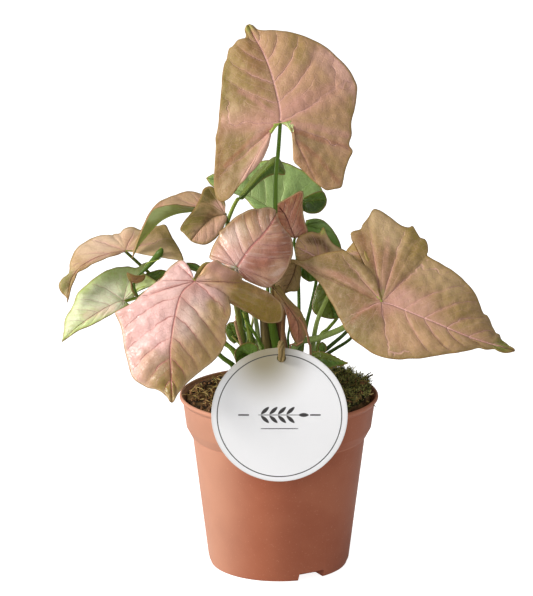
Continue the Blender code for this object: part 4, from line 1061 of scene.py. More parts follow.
LARGE_LEAVES = {
    "leaf_top": dict(
        finish="tan", depth=2, lean=(0, 0.36), veins=(3, 5), bend=1.3, quilt=0.9, ruffle=0.6,
        upper=("khaki", "fawn"), lower=("lime", "pale_green"), base=(0.6, 272), tip=(-18.6, 330.8, -6),
        midrib=[(0, 283, -1), (-7, 308.5, -3)], left_root=[(-5.4, 270.6, -1), (-2.5, 271.3)],
        right_root=[(8.8, 273.3, -1), (4.2, 272.6)],
        left=[(-5.5, 267.5, -1), (-5.8, 262.9, -1), (-6.8, 257, -1), (-10.3, 249.8, -1.3),
            (-14.8, 243.9, -1.7), (-18.7, 239.9, -2), (-22.6, 235, -2.8), (-26.2, 230.1, -4.9),
            (-30.4, 225.6, -6.4), (-35.2, 224.3, -7.4), (-38.1, 229.5, -8.5), (-38.7, 236.8, -8.6),
            (-38.3, 245.2, -7.8), (-37.6, 256.4, -6.8), (-37.6, 262.9, -6.2), (-36.2, 269.5, -6),
            (-35.6, 277.3, -6), (-34.6, 285.8, -6), (-33.9, 294.3, -6.1), (-33.6, 300.8, -6.4),
            (-32.3, 307.3, -6.7), (-30.7, 310.5, -6.9), (-29.7, 316.3, -6.7), (-27.5, 317.9, -6.4),
            (-24.3, 321.5, -6), (-20.5, 322.5, -6), (-19.5, 324.7, -6), (-19.9, 327.9, -6)],
        right=[(7.7, 268.8, -1), (8.8, 262.9, -1), (8.5, 258.4, -1.1), (9.9, 255.3, -1.8),
            (11.6, 254.7, -2), (10.3, 251.8, -2.4), (9, 248.5, -2.9), (12.2, 245.2, -3.5),
            (17.4, 239.9, -4.5), (20.7, 236.5, -5.1), (25.2, 233, -5.9), (28.2, 231.1, -6.6),
            (32, 231.7, -7.5), (36.8, 232.9, -8.7), (38, 236.8, -8.9), (38.9, 241.9, -8.6),
            (41.1, 249.2, -8.3), (43.5, 254.7, -8), (41.4, 259, -8), (43, 264.9, -8), (42.6, 272.8, -8),
            (44.5, 279.9, -8), (45.7, 287.8, -8), (46, 293.6, -7.9), (43.4, 300.1, -7.6),
            (38.9, 306.6, -7.2), (33.1, 312.4, -6.8), (28, 317.3, -6.5), (20.3, 321.5, -6.1),
            (12, 324.8, -6), (4.4, 326.7, -6), (-3.3, 327.5, -6), (-10.9, 327.4, -6), (-13.4, 328.3, -6),
            (-15.4, 330.2, -6)],
        patches=[(-33, 309, -34, 295, -34, 283, 4.5, "olive", 0.75),
            (-24, 311, -22, 295, -23, 281, 8, "ochre", 0.5), (-18, 316, -13, 309, 6.5, "brown", 0.7),
            (-15, 303, -10, 295, 5, "dusky", 0.35), (9, 323, 12, 311, 5, "ochre", 0.6),
            (-30, 256, -34, 240, 7, "brown", 0.4), (24, 312, 35, 301, 6, "blush", 0.45),
            (30, 316, 43, 295, 44, 283, 3.5, "blush", 0.65), (10, 282, 23, 286, 37, 291, 7, "pink", 0.45),
            (4, 299, 16, 298, 8, "pink", 0.25), (3, 281, 12, 283, 7, "pink", 0.5),
            (-3, 272, -17, 274, -33, 271, 8, "pink", 0.65), (-25, 288, -23, 279, 9, "drab", 0.4),
            (-30, 262, -28, 240, 9, "umber", 0.5), (-29, 279, 6, "sand", 0.3),
            (-36, 267, -37, 242, 4, "brown", 0.5), (-26, 256, 9, "ochre", 0.3),
            (-7, 262, -10, 253, -20, 239, 3.5, "blush", 0.6), (12, 265, 21, 258, 6, "drab", 0.6),
            (14, 251, 20, 241, 5, "dusky", 0.6), (29, 246, 8, "ochre", 0.5), (36, 258, 6, "pink", 0.3),
            (-19, 329, 3.5, "lime", 0.7), (42, 287, 42, 279, 2.5, "ochre", 0.7),
            (-10, 288, 7, "brown", 0.3), (9, 267, 24, 262, 42, 257, 1.6, "brick", 0.5),
            (11, 260, 23, 251, 35, 236, 1.6, "brick", 0.45), (3, 272, 23, 269, 42, 264, 2.2, "pink", 0.6),
            (-2, 270, -17, 261, -32, 246, 1.5, "brick", 0.5),
            (-4, 277, -14, 286, -23, 291, 1.8, "pink", 0.6), (-10, 268, -18, 257, 2, "blush", 0.3),
            (2, 276, 12, 287, 30, 294, 2.4, "pink", 0.3)]),
    "leaf_front": dict(
        finish="pink", depth=-40, lean=(0.1, 0.5), veins=(3, 6), bend=1, quilt=1.25, ruffle=0.5,
        upper=("rosy", "honey"), lower=("lime", "ochre"), base=(-50.5, 175.5), tip=(-64.5, 99.5, 2),
        midrib=[(-59.5, 165.5, 2), (-65, 137.5, 5), (-65, 119, 4)],
        left=[(-52.3, 178.3, -0.4), (-53.7, 181.9, -0.9), (-55.4, 185.1, -1.9), (-57.4, 188.2, -2.9),
            (-60.5, 187.9, -3.3), (-64.6, 184.5, -3.9), (-67.5, 181, -4.2), (-69.8, 177.1, -4.4),
            (-75.5, 173.4, -4.8), (-79.6, 170.3, -5.4), (-84.2, 165.6, -6.8), (-87.1, 162.6, -7.7),
            (-92.8, 159.1, -9.2), (-98.2, 156.1, -10.8), (-97.6, 153.1, -10.6), (-95.3, 147.8, -9.7),
            (-93.9, 141.8, -8.9), (-92.8, 135.9, -8.2), (-92, 129.9, -7.5), (-90.6, 123.3, -6.6),
            (-89.7, 118.6, -5.7), (-87.5, 114.5, -4.7), (-83.5, 111.4, -3.7), (-78.9, 109, -2.1),
            (-73.8, 108.1, -0.6), (-70.3, 106.3, 0.3), (-67.4, 103.6, 0.9), (-65.6, 100.5, 1.6)],
        right=[(-46.9, 179.5, -0.8), (-43.4, 182.7, -1.5), (-40.6, 186.3, -2.3), (-37.4, 188.3, -2.9),
            (-34.8, 186.6, -3.4), (-31.4, 184.2, -3.9), (-24.6, 180.4, -5), (-21.1, 178, -6.2),
            (-22.2, 176.5, -6.1), (-16.4, 173.8, -8), (-11.2, 171.1, -9.6), (-6, 168.4, -11.6),
            (-2.1, 165.1, -13.4), (1.2, 161.4, -15.2), (2.3, 157.7, -16.9), (2.5, 153.7, -18.4),
            (1.5, 150.8, -18.8), (-1.4, 149.7, -18.3), (-5.3, 149.6, -17.6), (-9.2, 150.3, -16.9),
            (-11.8, 152.2, -15.9), (-16.4, 155.3, -14.3), (-20.9, 158.4, -12.4), (-25.5, 161.1, -8.9),
            (-29.2, 164.1, -5.8), (-30.6, 165.6, -5), (-29.8, 162, -4.6), (-28.9, 157.9, -4.1),
            (-29.2, 153.7, -4), (-30.6, 150.2, -4), (-32.1, 147.2, -4), (-32.4, 143, -4),
            (-31.7, 139.5, -4), (-32.7, 135.9, -3.8), (-34.2, 132.3, -3.4), (-37.9, 127.5, -2.7),
            (-42.5, 123.3, -2), (-47.2, 119.5, -1.2), (-51.2, 116.2, -0.5), (-54.7, 112.6, 0.2),
            (-57.6, 109, 0.9), (-60.5, 105.4, 1.3), (-62.5, 102.4, 1.7)],
        # The pearl patches over the upper middle of this blade are painted highlights.
        patches=[(-95, 153, -92, 139, -89, 124, -80, 113, 7, "pink", 0.55),
            (-49, 170, -38, 164, 9, "rosy", 0.95), (-57, 163, -58, 143, 8, "pearl", 0.75),
            (-71, 154, -82, 131, 14, "rosy", 0.5), (-53, 171, -57, 165, 6, "pink", 0.75),
            (-71, 170, -62, 172, 9, "pearl", 0.35), (-47, 159, -51, 145, 8, "pearl", 0.4),
            (-40, 161, -36, 155, 4.5, "gold", 0.9), (-44, 144, -45, 131, 8, "drab", 0.45),
            (-67, 123, -70, 114, 10, "umber", 0.8), (-72, 111, -65, 104, 8, "ochre", 0.7),
            (-63, 108, -65, 99, 6, "ochre", 1), (-54, 134, -56, 118, 11, "fawn", 0.7),
            (-54, 113, -60, 106, 6, "ochre", 0.6), (-38, 133, -44, 125, 6, "gold", 0.5),
            (-34, 150, -36, 138, 3.5, "peach", 0.5), (-63, 121, -68, 110, 7, "olive_gold", 0.6),
            (-78, 126, -79, 115, 7, "fawn", 0.6), (-40, 184, -28, 177, 6, "pink", 0.85),
            (-25, 175, -14, 170, -3, 164, 6, "brown", 0.9),
            (-23, 165, -14, 158, -1, 153, 10, "olive_gold", 1)]),
    "leaf_right": dict(
        finish="tan", depth=-24, lean=(0, 0.6), veins=(4, 6), bend=1.3, quilt=1.1, ruffle=0.4,
        upper=("khaki", "khaki"), lower=("ochre", "lime"), base=(61.5, 162.5), tip=(142, 132, -4),
        midrib=[(68.5, 160.5), (92, 150.5, 3), (115, 140.5, 2)],
        left=[(60.8, 168.7, -0.4), (59.9, 175.5, -0.8), (57.8, 178.5, -1), (56.2, 182.7, -1),
            (54, 189.2, -1), (51.1, 193.7, -1.7), (47.7, 198.2, -2.7), (45.1, 201.3, -3.8),
            (42.6, 203.5, -5), (43.3, 205.8, -5), (48.4, 207.4, -5), (49.9, 210.3, -4.8),
            (53.5, 215.2, -4.3), (56, 219.3, -4), (58.9, 219, -4), (65.6, 215.2, -4), (73, 209.6, -4),
            (77.4, 208.4, -4), (79.6, 209.2, -4), (81.8, 205.4, -4.3), (84, 202, -4.6), (87, 200.9, -4.8),
            (88.6, 197.5, -4.8), (88.9, 193.7, -4.3), (88.7, 191, -4), (95.2, 186.9, -4),
            (102.7, 182.3, -4), (107.1, 178.9, -4), (112.3, 174, -4.4), (116.8, 168.7, -4.7),
            (119.5, 163.3, -5), (122.6, 155.7, -5), (124.8, 154.5, -5), (126.7, 151.1, -5),
            (128.6, 146.5, -4.8), (130.2, 143.1, -4.6), (132.4, 142.3, -4.4), (133.6, 139.2, -4.2),
            (136.6, 136.2, -4), (140.3, 133.5, -4)],
        right=[(57, 167.1), (56.3, 173.8), (55.6, 180.5), (51, 185.2, 0.6), (45.2, 189.8, 0.8),
            (39.3, 194, 0.2), (34.1, 193.8, -0.4), (27, 192.6, -1.5), (19.9, 190.5, -3.1),
            (16, 188.6, -4.5), (12.1, 188.2, -6.9), (7, 189, -10), (7.9, 187.2, -9.7),
            (12.8, 184.5, -8.5), (18.6, 179.8, -8), (22.6, 175.8, -8), (26.5, 171.1, -8),
            (29.1, 165.8, -8), (33, 159, -8), (35.6, 153.7, -7.8), (38.3, 148.3, -7.5), (38.1, 148, -7.5),
            (41.1, 143.5, -7.2), (44.8, 138.9, -6.8), (50.8, 134.6, -6.1), (56.7, 130.4, -5.4),
            (64.1, 127.7, -4.8), (72.3, 126.7, -4.5), (78.2, 127.2, -4.2), (84.9, 127.3, -3.9),
            (91.5, 128.5, -3.6), (99.7, 130, -3.3), (107.8, 131.3, -3), (115.2, 132.7, -3),
            (120.3, 133.9, -3), (124.8, 132.6, -3), (130, 133.1, -3), (133, 131.6, -3.1),
            (135.9, 130.8, -3.4), (138.9, 131.2, -3.7)],
        patches=[(59, 215, 64, 208, 69, 201, 8, "sand", 0.85), (49, 202, 57, 187, 4, "dusky", 0.6),
            (64, 191, 68, 176, 6, "dusky", 0.3), (26, 187, 39, 181, 46, 164, 53, 150, 13, "umber", 0.7),
            (80, 203, 84, 193, 8, "ochre", 0.7), (23, 190, 36, 192, 4, "khaki", 0.6),
            (62, 169, 62, 164, 1.4, "lime", 0.9), (43, 160, 50, 150, 59, 144, 9, "drab", 0.75),
            (63, 139, 70, 151, 7, "fawn", 0.6), (85, 139, 103, 136, 6, "fawn", 0.5),
            (78, 208, 86, 197, 3, "olive", 0.5), (74, 163, 94, 156, 12, "pink", 0.25),
            (65, 160, 75, 165, 6, "pink", 0.6), (61, 158, 52, 160, 44, 150, 1.6, "dusky", 0.6),
            (62, 156, 70, 145, 73, 134, 1.6, "dusky", 0.45),
            (59, 162, 63, 182, 65, 201, 1.8, "pink", 0.35),
            (57, 164, 44, 175, 30, 181, 1.6, "dusky", 0.5), (72, 165, 87, 159, 6, "blush", 0.3),
            (43, 145, 56, 135, 3.5, "olive", 0.4),
            (27, 171, 31, 164, 34, 158, 37, 151, 40, 145, 1.2, "sand", 0.6),
            (47, 163, 56, 156, 5, "dusky", 0.4), (71, 145, 80, 138, 8, "peach", 0.4),
            (102, 164, 110, 151, 8, "ochre", 0.5), (115, 143, 7, "tan", 0.6),
            (135, 133, 133, 135, 5, "moss", 0.9), (16, 184, 36, 179, 52, 170, 2.5, "pink", 0.3),
            (89, 181, 102, 174, 9, "sand", 0.45)]),
}
build_leaves(LARGE_LEAVES)

# The turned-back edge that fills the notch between the two lobes of the right leaf.
NOTCH_FOLD = dict(
    finish="tan", depth=-12, lean=(0, 0.6), swell=0.8, bend=0.5, quilt=0.25, ruffle=0.2,
    upper=("gold", "gold"), lower=("ochre", "lime"), base=(55.6, 177), tip=(44.7, 200),
    midrib=[(52.5, 184), (48.5, 192)],
    left=[(52.5, 180), (47.5, 184.5), (42.5, 189), (40, 193.4), (42.9, 197.7)],
    right=[(57, 182), (55.5, 188.5), (53.5, 192), (49.5, 196.5)],
    patches=[(40, 192, 52, 192.5, 1, "blush", 0.7), (45, 189, 50, 189, 3, "fawn", 0.6),
        (52, 187, 55, 181, 3, "dark_olive", 1)])
build_blade("notch_fold", {**PLAIN_LEAF, **NOTCH_FOLD}, drawn_plain=False)


# The crown: seven blades between the large ones, on upright petioles. The glossy pink-brown one
# in the middle, a folded tan one, a dusty rose one, and green ones of the plant's older growth.
CROWN_LEAVES = {
    "leaf_fold": dict(
        finish="tan", depth=3, lean=(0.1, 0.3), veins=(3, 4), quilt=0.5, ruffle=0.4,
        upper=("brown", "fawn"), lower=("lime", "lime"), base=(36.5, 181), tip=(9.5, 196.5),
        midrib=[(27.5, 187), (17.5, 193, 2)],
        left=[(35.5, 176), (25.5, 177), (17.5, 182), (12, 187), (10, 191.5)],
        right=[(39, 187), (40.5, 193, -2), (33, 198, -3), (29, 203, -5), (26.5, 208.5, -7), (24, 205, -6),
            (18, 205.5, -5), (11.5, 202.5, -3)],
        # The dark brown patch along the fold is painted shade in its hollow.
        patches=[(18, 201, 26, 199, 32, 193, 3.2, "dark_brown", 0.9),
            (11, 202, 11, 190, 4.5, "fawn", 0.9), (26, 207, 3, "lime", 1),
            (16, 204, 21, 205, 2.5, "fawn", 0.7), (30, 201, 39, 192, 3, "sand", 0.9),
            (34, 192, 40, 190, 4, "sand", 0.8), (16, 187, 24, 190, 4, "peach", 0.5)]),
    "leaf_centre": dict(
        finish="rose", look="copper", depth=-24, lean=(0.1, 0.45), veins=(3, 5), bend=1, quilt=0.7,
        ruffle=0.4, upper=("peach", "brick"), base=(-25.2, 184), tip=(-2, 217.6, -7),
        midrib=[(-17.5, 195.5, 1), (-10, 203.5, -1), (-4, 212, -4)],
        left=[(-26.9, 182.4, -0.5), (-28.9, 183.6, -1), (-31.4, 184.7, -1), (-36.8, 188.5, -3.8),
            (-41.3, 189.3, -3.9), (-41.4, 191.8, -4.2), (-39.8, 195.9, -4.7), (-37.3, 200.5, -5),
            (-35.3, 204, -5), (-35.3, 205.8, -5), (-32.8, 207.8, -5.3), (-29.3, 211.6, -5.8),
            (-26.9, 214.2, -6.3), (-22.4, 217, -7.3), (-18.5, 219, -8), (-15, 219.7, -8),
            (-11.6, 219.9, -8), (-7.1, 220.5, -7.7), (-3.9, 220, -7.1)],
        right=[(-23.2, 181.2, -0.5), (-22.5, 178, -1), (-18.5, 175.4, -2.2), (-13.6, 173, -3.6),
            (-9.1, 171.6, -4.7), (-5.6, 171.6, -5.2), (-3.2, 173.2, -5.4), (-0.2, 175.2, -5.6),
            (3.3, 179.6, -6), (5.8, 184.7, -6), (7.2, 188.7, -6), (8.2, 192.8, -6), (8.2, 197.9, -6),
            (7.5, 202, -6.3), (4, 206.6, -7), (0.8, 210.6, -6.5)],
        # The cream_pink patch at the left and the peach one along the midrib are painted highlights.
        patches=[(-16, 218, -23, 214, -32, 207, 4, "brown", 0.85),
            (-5, 217, -10, 213, 6, "dark_brown", 0.45), (-28, 201, -24, 206, 5, "cream_pink", 0.6),
            (-34, 193, -36, 187, 5, "blush", 0.5), (-26, 190, 8, "blush", 0.9),
            (-26, 184, 2.6, "milk", 1), (-15, 197, -5, 206, 7, "peach", 0.6), (-20, 208, 5, "sand", 0.6),
            (-10, 196, 8, "pink", 0.35), (-13, 187, -1, 193, 6, "brick", 0.4),
            (-10, 177, -4, 179, 6, "peach", 0.7), (1, 187, -2, 181, 4, "peach", 0.8),
            (5, 201, 5, 192, 5, "dusky", 0.5)]),
    "leaf_rear_pink": dict(
        finish="rose", depth=12, lean=(0, 0.25), veins=(2, 4), quilt=0.4, upper=("brick", "brick"),
        base=(9.5, 202), tip=(-1.5, 222.5), midrib=[(7, 208), (3.5, 216.5)],
        left=[(6, 202.5, -1), (1, 206, -2), (-3.5, 211.5, -2), (-4, 219, -1)],
        right=[(13, 203, -1), (17, 205, -3), (15, 213, -2), (14, 221.5, -2), (14, 231, -4),
            (6.5, 227.5, -2)],
        patches=[(10, 225, 12, 213, 6, "brick", 0.7), (10, 206, 4, "pink", 0.6)]),
    "leaf_gloss": dict(
        depth=26, lean=(0.05, 0.1), veins=(2, 5), quilt=0.7, upper=("deep_green", "leaf_green"),
        base=(15.5, 210), tip=(18, 175, 4), midrib=[(16.5, 197.5, 2), (16.5, 185, 3)],
        left=[(13.5, 208, -1), (11.5, 202, -1), (10.5, 194.5), (11.5, 186), (13.5, 178.5, 2)],
        right=[(16, 213, -1), (22, 214, -1), (27, 212.3, -3), (32.5, 206, -5), (36.8, 197, -5),
            (36.5, 186, -3), (29.5, 178), (22.5, 176, 3)],
        patches=[(23, 211, 32, 206, 5, "sage", 0.5), (34, 201, 36, 193, 5, "leaf_green", 0.5),
            (20, 211, 3, "night_green", 0.5)]),
    "leaf_rear_green": dict(
        finish="mid_green", depth=34, lean=(0, 0.35), veins=(3, 5), quilt=0.6, ruffle=0.5,
        upper=("sage", "sage"), lower=("lime", "lime"), base=(0, 217), tip=(-43.5, 238.5),
        midrib=[(-10, 223.5), (-20.5, 229.5), (-32, 235.5)],
        left=[(1, 214), (-6.5, 215.5, -1), (-14.5, 220, -1), (-21.5, 227, -2), (-31.5, 230.5, -1),
            (-39.5, 233.5)],
        right=[(4, 218, -1), (15.5, 222, -3), (26, 230, -6), (17.5, 240.5, -6), (10, 245.5, -5),
            (0, 249, -5), (-10, 249, -4), (-23, 246, -3), (-37.5, 241.5, -1)],
        patches=[(-17, 234, 6, "sage", 0.5), (-4, 231, 6, 237, 7, "sage", 0.6),
            (12, 230, 20, 228, 6, "sage", 0.5), (-10, 223, 5, "leaf_green", 0.4)]),
    "leaf_rear_dark": dict(
        depth=24, lean=(0.1, 0.3), swell=1, upper=("deep_green", "night_green"), base=(13.5, 223.5),
        tip=(28.5, 225.5), midrib=[(19.5, 225, 1)],
        left=[(15, 226.5), (20.5, 229.5), (26, 230.5)],
        right=[(13.5, 219), (18, 217), (23.5, 217.5), (27.5, 221.5)]),
    "leaf_narrow": dict(
        depth=14, lean=(0.15, 0.3), swell=0.3, veins=(2, 4), bend=0.6, quilt=0.2, ruffle=0.2,
        upper=("moss", "deep_green"), lower=("deep_green", "moss"), base=(-24.5, 225.5), tip=(3.5, 240.5),
        midrib=[(-19, 231, 2), (-10, 241.5, 2), (-2.5, 247.5, 2)],
        left=[(-22.5, 229.5, -3), (-16, 239, -5), (-8.5, 247, -6), (-1.5, 251.5, -4), (3, 244.5, -2)],
        right=[(-21.5, 225.5), (-15.5, 232.5), (-8.5, 238.5), (-2, 241), (1, 240.5)]),
}
build_leaves(CROWN_LEAVES)


# The left-hand leaves: two long tan blades that arch away from the plant, one folded along its
# midrib, a pale yellow-green one below them, an olive one, and three small ones between them.
LEFT_LEAVES = {
    "leaf_arching": dict(
        finish="tan", depth=12, lean=(0.5, 0), swell=0.5, veins=(2, 6), turned=-1, under=(0.3, 0.1, -1),
        upper=("peach", "sand"), lower=("reed", "reed"), base=(-43.5, 219.5), tip=(-88, 189, 4),
        midrib=[(-53, 218.5), (-62, 217), (-71, 212.5, 1), (-78.5, 204.5, 3), (-84, 197.5, 4)],
        left=[(-42.5, 227.5, -14), (-53, 230.5, -18), (-62, 228, -18), (-71.5, 224, -14),
            (-77.5, 217, -9), (-81.5, 208.5, -4), (-85.5, 199, 1)],
        right=[(-44, 222, 5), (-52, 221, 8), (-61.5, 222.5, 9), (-70.5, 221, 9), (-75.5, 218.5, 8),
            (-79.5, 211.5, 8), (-83, 203, 7)],
        patches=[(-65, 223, -53, 226, 4, "sand", 0.6), (-78, 212, -76, 218, 3, "dusky", 0.3),
            (-83, 202, -87, 195, 4, "moss", 0.6)],
        # The pale green patch on the underside is a painted highlight.
        lower_patches=[(-68, 221, -76, 215, 3.5, "pale_green", 0.75), (-56, 223, 4, "khaki", 0.5)]),
    "leaf_far_left": dict(
        finish="tan", depth=-8, lean=(-0.05, 0.45), veins=(4, 5), quilt=0.5, ruffle=0.4,
        upper=("tan", "sand"), base=(-91.5, 194), tip=(-127, 162, 4), midrib=[(-102, 192, 2),
        (-111.5, 188.5, 3), (-119, 183.5, 4), (-124, 176, 4)],
        left=[(-95.2, 191.9, 2.9), (-101.1, 190.4, 4.7), (-106.1, 188.1, 5.5), (-111.6, 185.8, 6),
            (-114.1, 184, 6), (-117.1, 182.2, 6), (-120.6, 180.4, 6), (-122.1, 176.4, 6),
            (-124.2, 172.3, 6), (-125.5, 168.2, 5.3), (-125.8, 165.1, 4.7)],
        right=[(-89.2, 193.7, -0.4), (-85.7, 194.9, -1.1), (-82.8, 195.2, -1.4), (-79.3, 195.5, -1.9),
            (-75.3, 195.5, -2.4), (-71.9, 195.2, -2.9), (-69.4, 196.3, -2.6), (-67.4, 195.5, -1.8),
            (-65.5, 194.2, -0.9), (-64, 191.7, 0.1), (-62.5, 189.9, 0.9), (-59.6, 188.6, 2.2),
            (-57, 188.2, 3), (-58, 191.7, 0.8), (-60, 196.3, -2.8), (-62.9, 200.8, -6.1),
            (-65.4, 205.9, -9.4), (-67.8, 210.1, -12), (-71.8, 209.5, -12), (-75.7, 208.5, -12),
            (-79.7, 206.4, -11.6), (-83.6, 207.2, -11.1), (-85.6, 208.1, -11), (-88.6, 208.6, -11),
            (-91.5, 208, -10.6), (-93.5, 206.4, -10.1), (-95, 204.9, -9.8), (-98, 204.7, -9.3),
            (-99.5, 203.6, -9.1), (-102, 203.9, -8.7), (-105.4, 204, -8.3), (-108.9, 203.1, -7.9),
            (-112.9, 201.4, -7), (-116.9, 198.8, -6.1), (-120.4, 195.8, -4.7), (-122.9, 191.7, -3),
            (-124.7, 186.6, -1.3), (-125, 182.5), (-126, 179.4, 1.1), (-129.6, 176.9, 2.4),
            (-131.7, 173.8, 3.5), (-131.6, 171.2, 4), (-130.2, 168.2, 4), (-127.2, 165.1, 4)],
        patches=[(-78, 203, -71, 197, 7, "sand", 0.7), (-77, 207, -71, 209, 4, "ochre", 0.8),
            (-67, 203, -63, 197, -59, 191, 3.5, "olive", 0.6), (-103, 201, -94, 204, 8, "pearl", 0.25),
            (-116, 196, -108, 193, 8, "pearl", 0.2), (-127, 179, -130, 171, 5, "moss", 0.7),
            (-121, 187, 5, "tan", 0.6), (-90, 201, 5, "peach", 0.6)]),
    "leaf_pale": dict(
        finish="pale_green", depth=-16, lean=(0, 0.45), veins=(3, 5), quilt=0.6, ruffle=0.4,
        upper=("pale_green", "pale_green"), lower=("leaf_green", "lime"), base=(-93, 163.5),
        tip=(-130.5, 137.5, 3), midrib=[(-101.5, 160, 2), (-112, 153.5, 4), (-122, 146, 4)],
        left=[(-89.5, 161, 2), (-99.5, 155.5, 6), (-112.5, 148, 6), (-120.5, 144.5, 5)],
        right=[(-87, 165.5), (-84.5, 171, 1), (-73.5, 174), (-77, 178, -3), (-81.5, 181.5, -5),
            (-76.5, 187, -9), (-80.5, 187, -9), (-85.5, 183.5, -8), (-91, 184.5, -9), (-99, 183.5, -8),
            (-107, 179.5, -7), (-114.5, 174, -5), (-120.5, 168, -4), (-123.5, 160.5, -2), (-128, 152.5),
            (-129, 145, 2)],
        patches=[(-107, 164, -100, 160, 9, "milk", 0.8), (-100, 171, -95, 165, 6, "milk", 0.6),
            (-123, 153, -125, 146, 5, "pale_green", 0.6), (-94, 165, -89, 160, 3, "deep_green", 0.8),
            (-115, 154, -100, 158, 3, "blush", 0.5), (-83, 185, 5, "lime", 0.5),
            (-127, 146, -123, 155, -117, 163, 4, "milk", 0.55)]),
    "leaf_small_dark": dict(
        depth=-2, lean=(0, 0.3), swell=1, upper=("deep_green", "deep_green"), base=(-82.5, 176),
        tip=(-66, 181.5), midrib=[(-77, 178, 1), (-71, 180.5, 1)],
        left=[(-81.5, 179), (-77.5, 181), (-71, 182.5)],
        right=[(-80, 174), (-75, 174.5), (-69.5, 178)]),
    "leaf_scrap": dict(
        finish="brown", depth=-21, lean=(0, 0.2), swell=0.5, veins=(2, 2), bend=0.6, quilt=0.2,
        upper=("ochre", "brown"), lower=("brown", "olive"), base=(-88.5, 175), tip=(-91, 181, 3),
        midrib=[(-89, 178, 2)],
        left=[(-89, 175.5), (-90.5, 178, 1)],
        right=[(-85.5, 174), (-81.5, 175.5), (-80, 179, 1), (-85.5, 179, 2)]),
    "leaf_speck": dict(
        depth=-6, lean=(0, 0.3), swell=0.5, veins=(2, 2), bend=0.6, quilt=0.2, ruffle=0.2,
        upper=("deep_green", "leaf_green"), base=(-47.5, 182), tip=(-55.5, 187), midrib=[(-51.5, 184.5)],
        left=[(-49, 181), (-54, 183)],
        right=[(-46, 184), (-50, 186.5)]),
    "leaf_olive": dict(
        finish="olive", depth=-2, lean=(0.05, 0.4), veins=(3, 4), quilt=0.5, ruffle=0.4,
        upper=("olive", "fawn"), base=(-32, 216.5), tip=(-52.5, 200, 3), midrib=[(-39.5, 214.5, -1),
        (-44.5, 210, 1), (-49, 205, 2)],
        left=[(-32, 222), (-34, 228.5, -1), (-40, 233.5, -3), (-45, 232, -3), (-47, 226.5, -1),
            (-51, 219), (-59, 208.5), (-56.5, 204.5, 2)],
        right=[(-31, 213.5), (-34, 207.5, 1), (-37.5, 202, 2), (-43.5, 198, 3), (-49, 198.5, 3)],
        patches=[(-47, 204, -40, 206, -34, 213, 6, "blush", 0.45), (-44, 218, -38, 217, 3, "tan", 0.6),
            (-43, 230, -41, 225, 4, "dark_brown", 0.55), (-49, 217, -45, 222, 2.5, "tan", 0.6),
            (-43, 222, -39, 223, 2, "fawn", 0.7), (-37, 223, -33, 219, 2.5, "blush", 0.9),
            (-48, 219, -45, 228, 7, "dark_olive", 0.8), (-39, 218, -44, 212, 2.5, "dark_brown", 0.7)]),
}
build_leaves(LEFT_LEAVES)


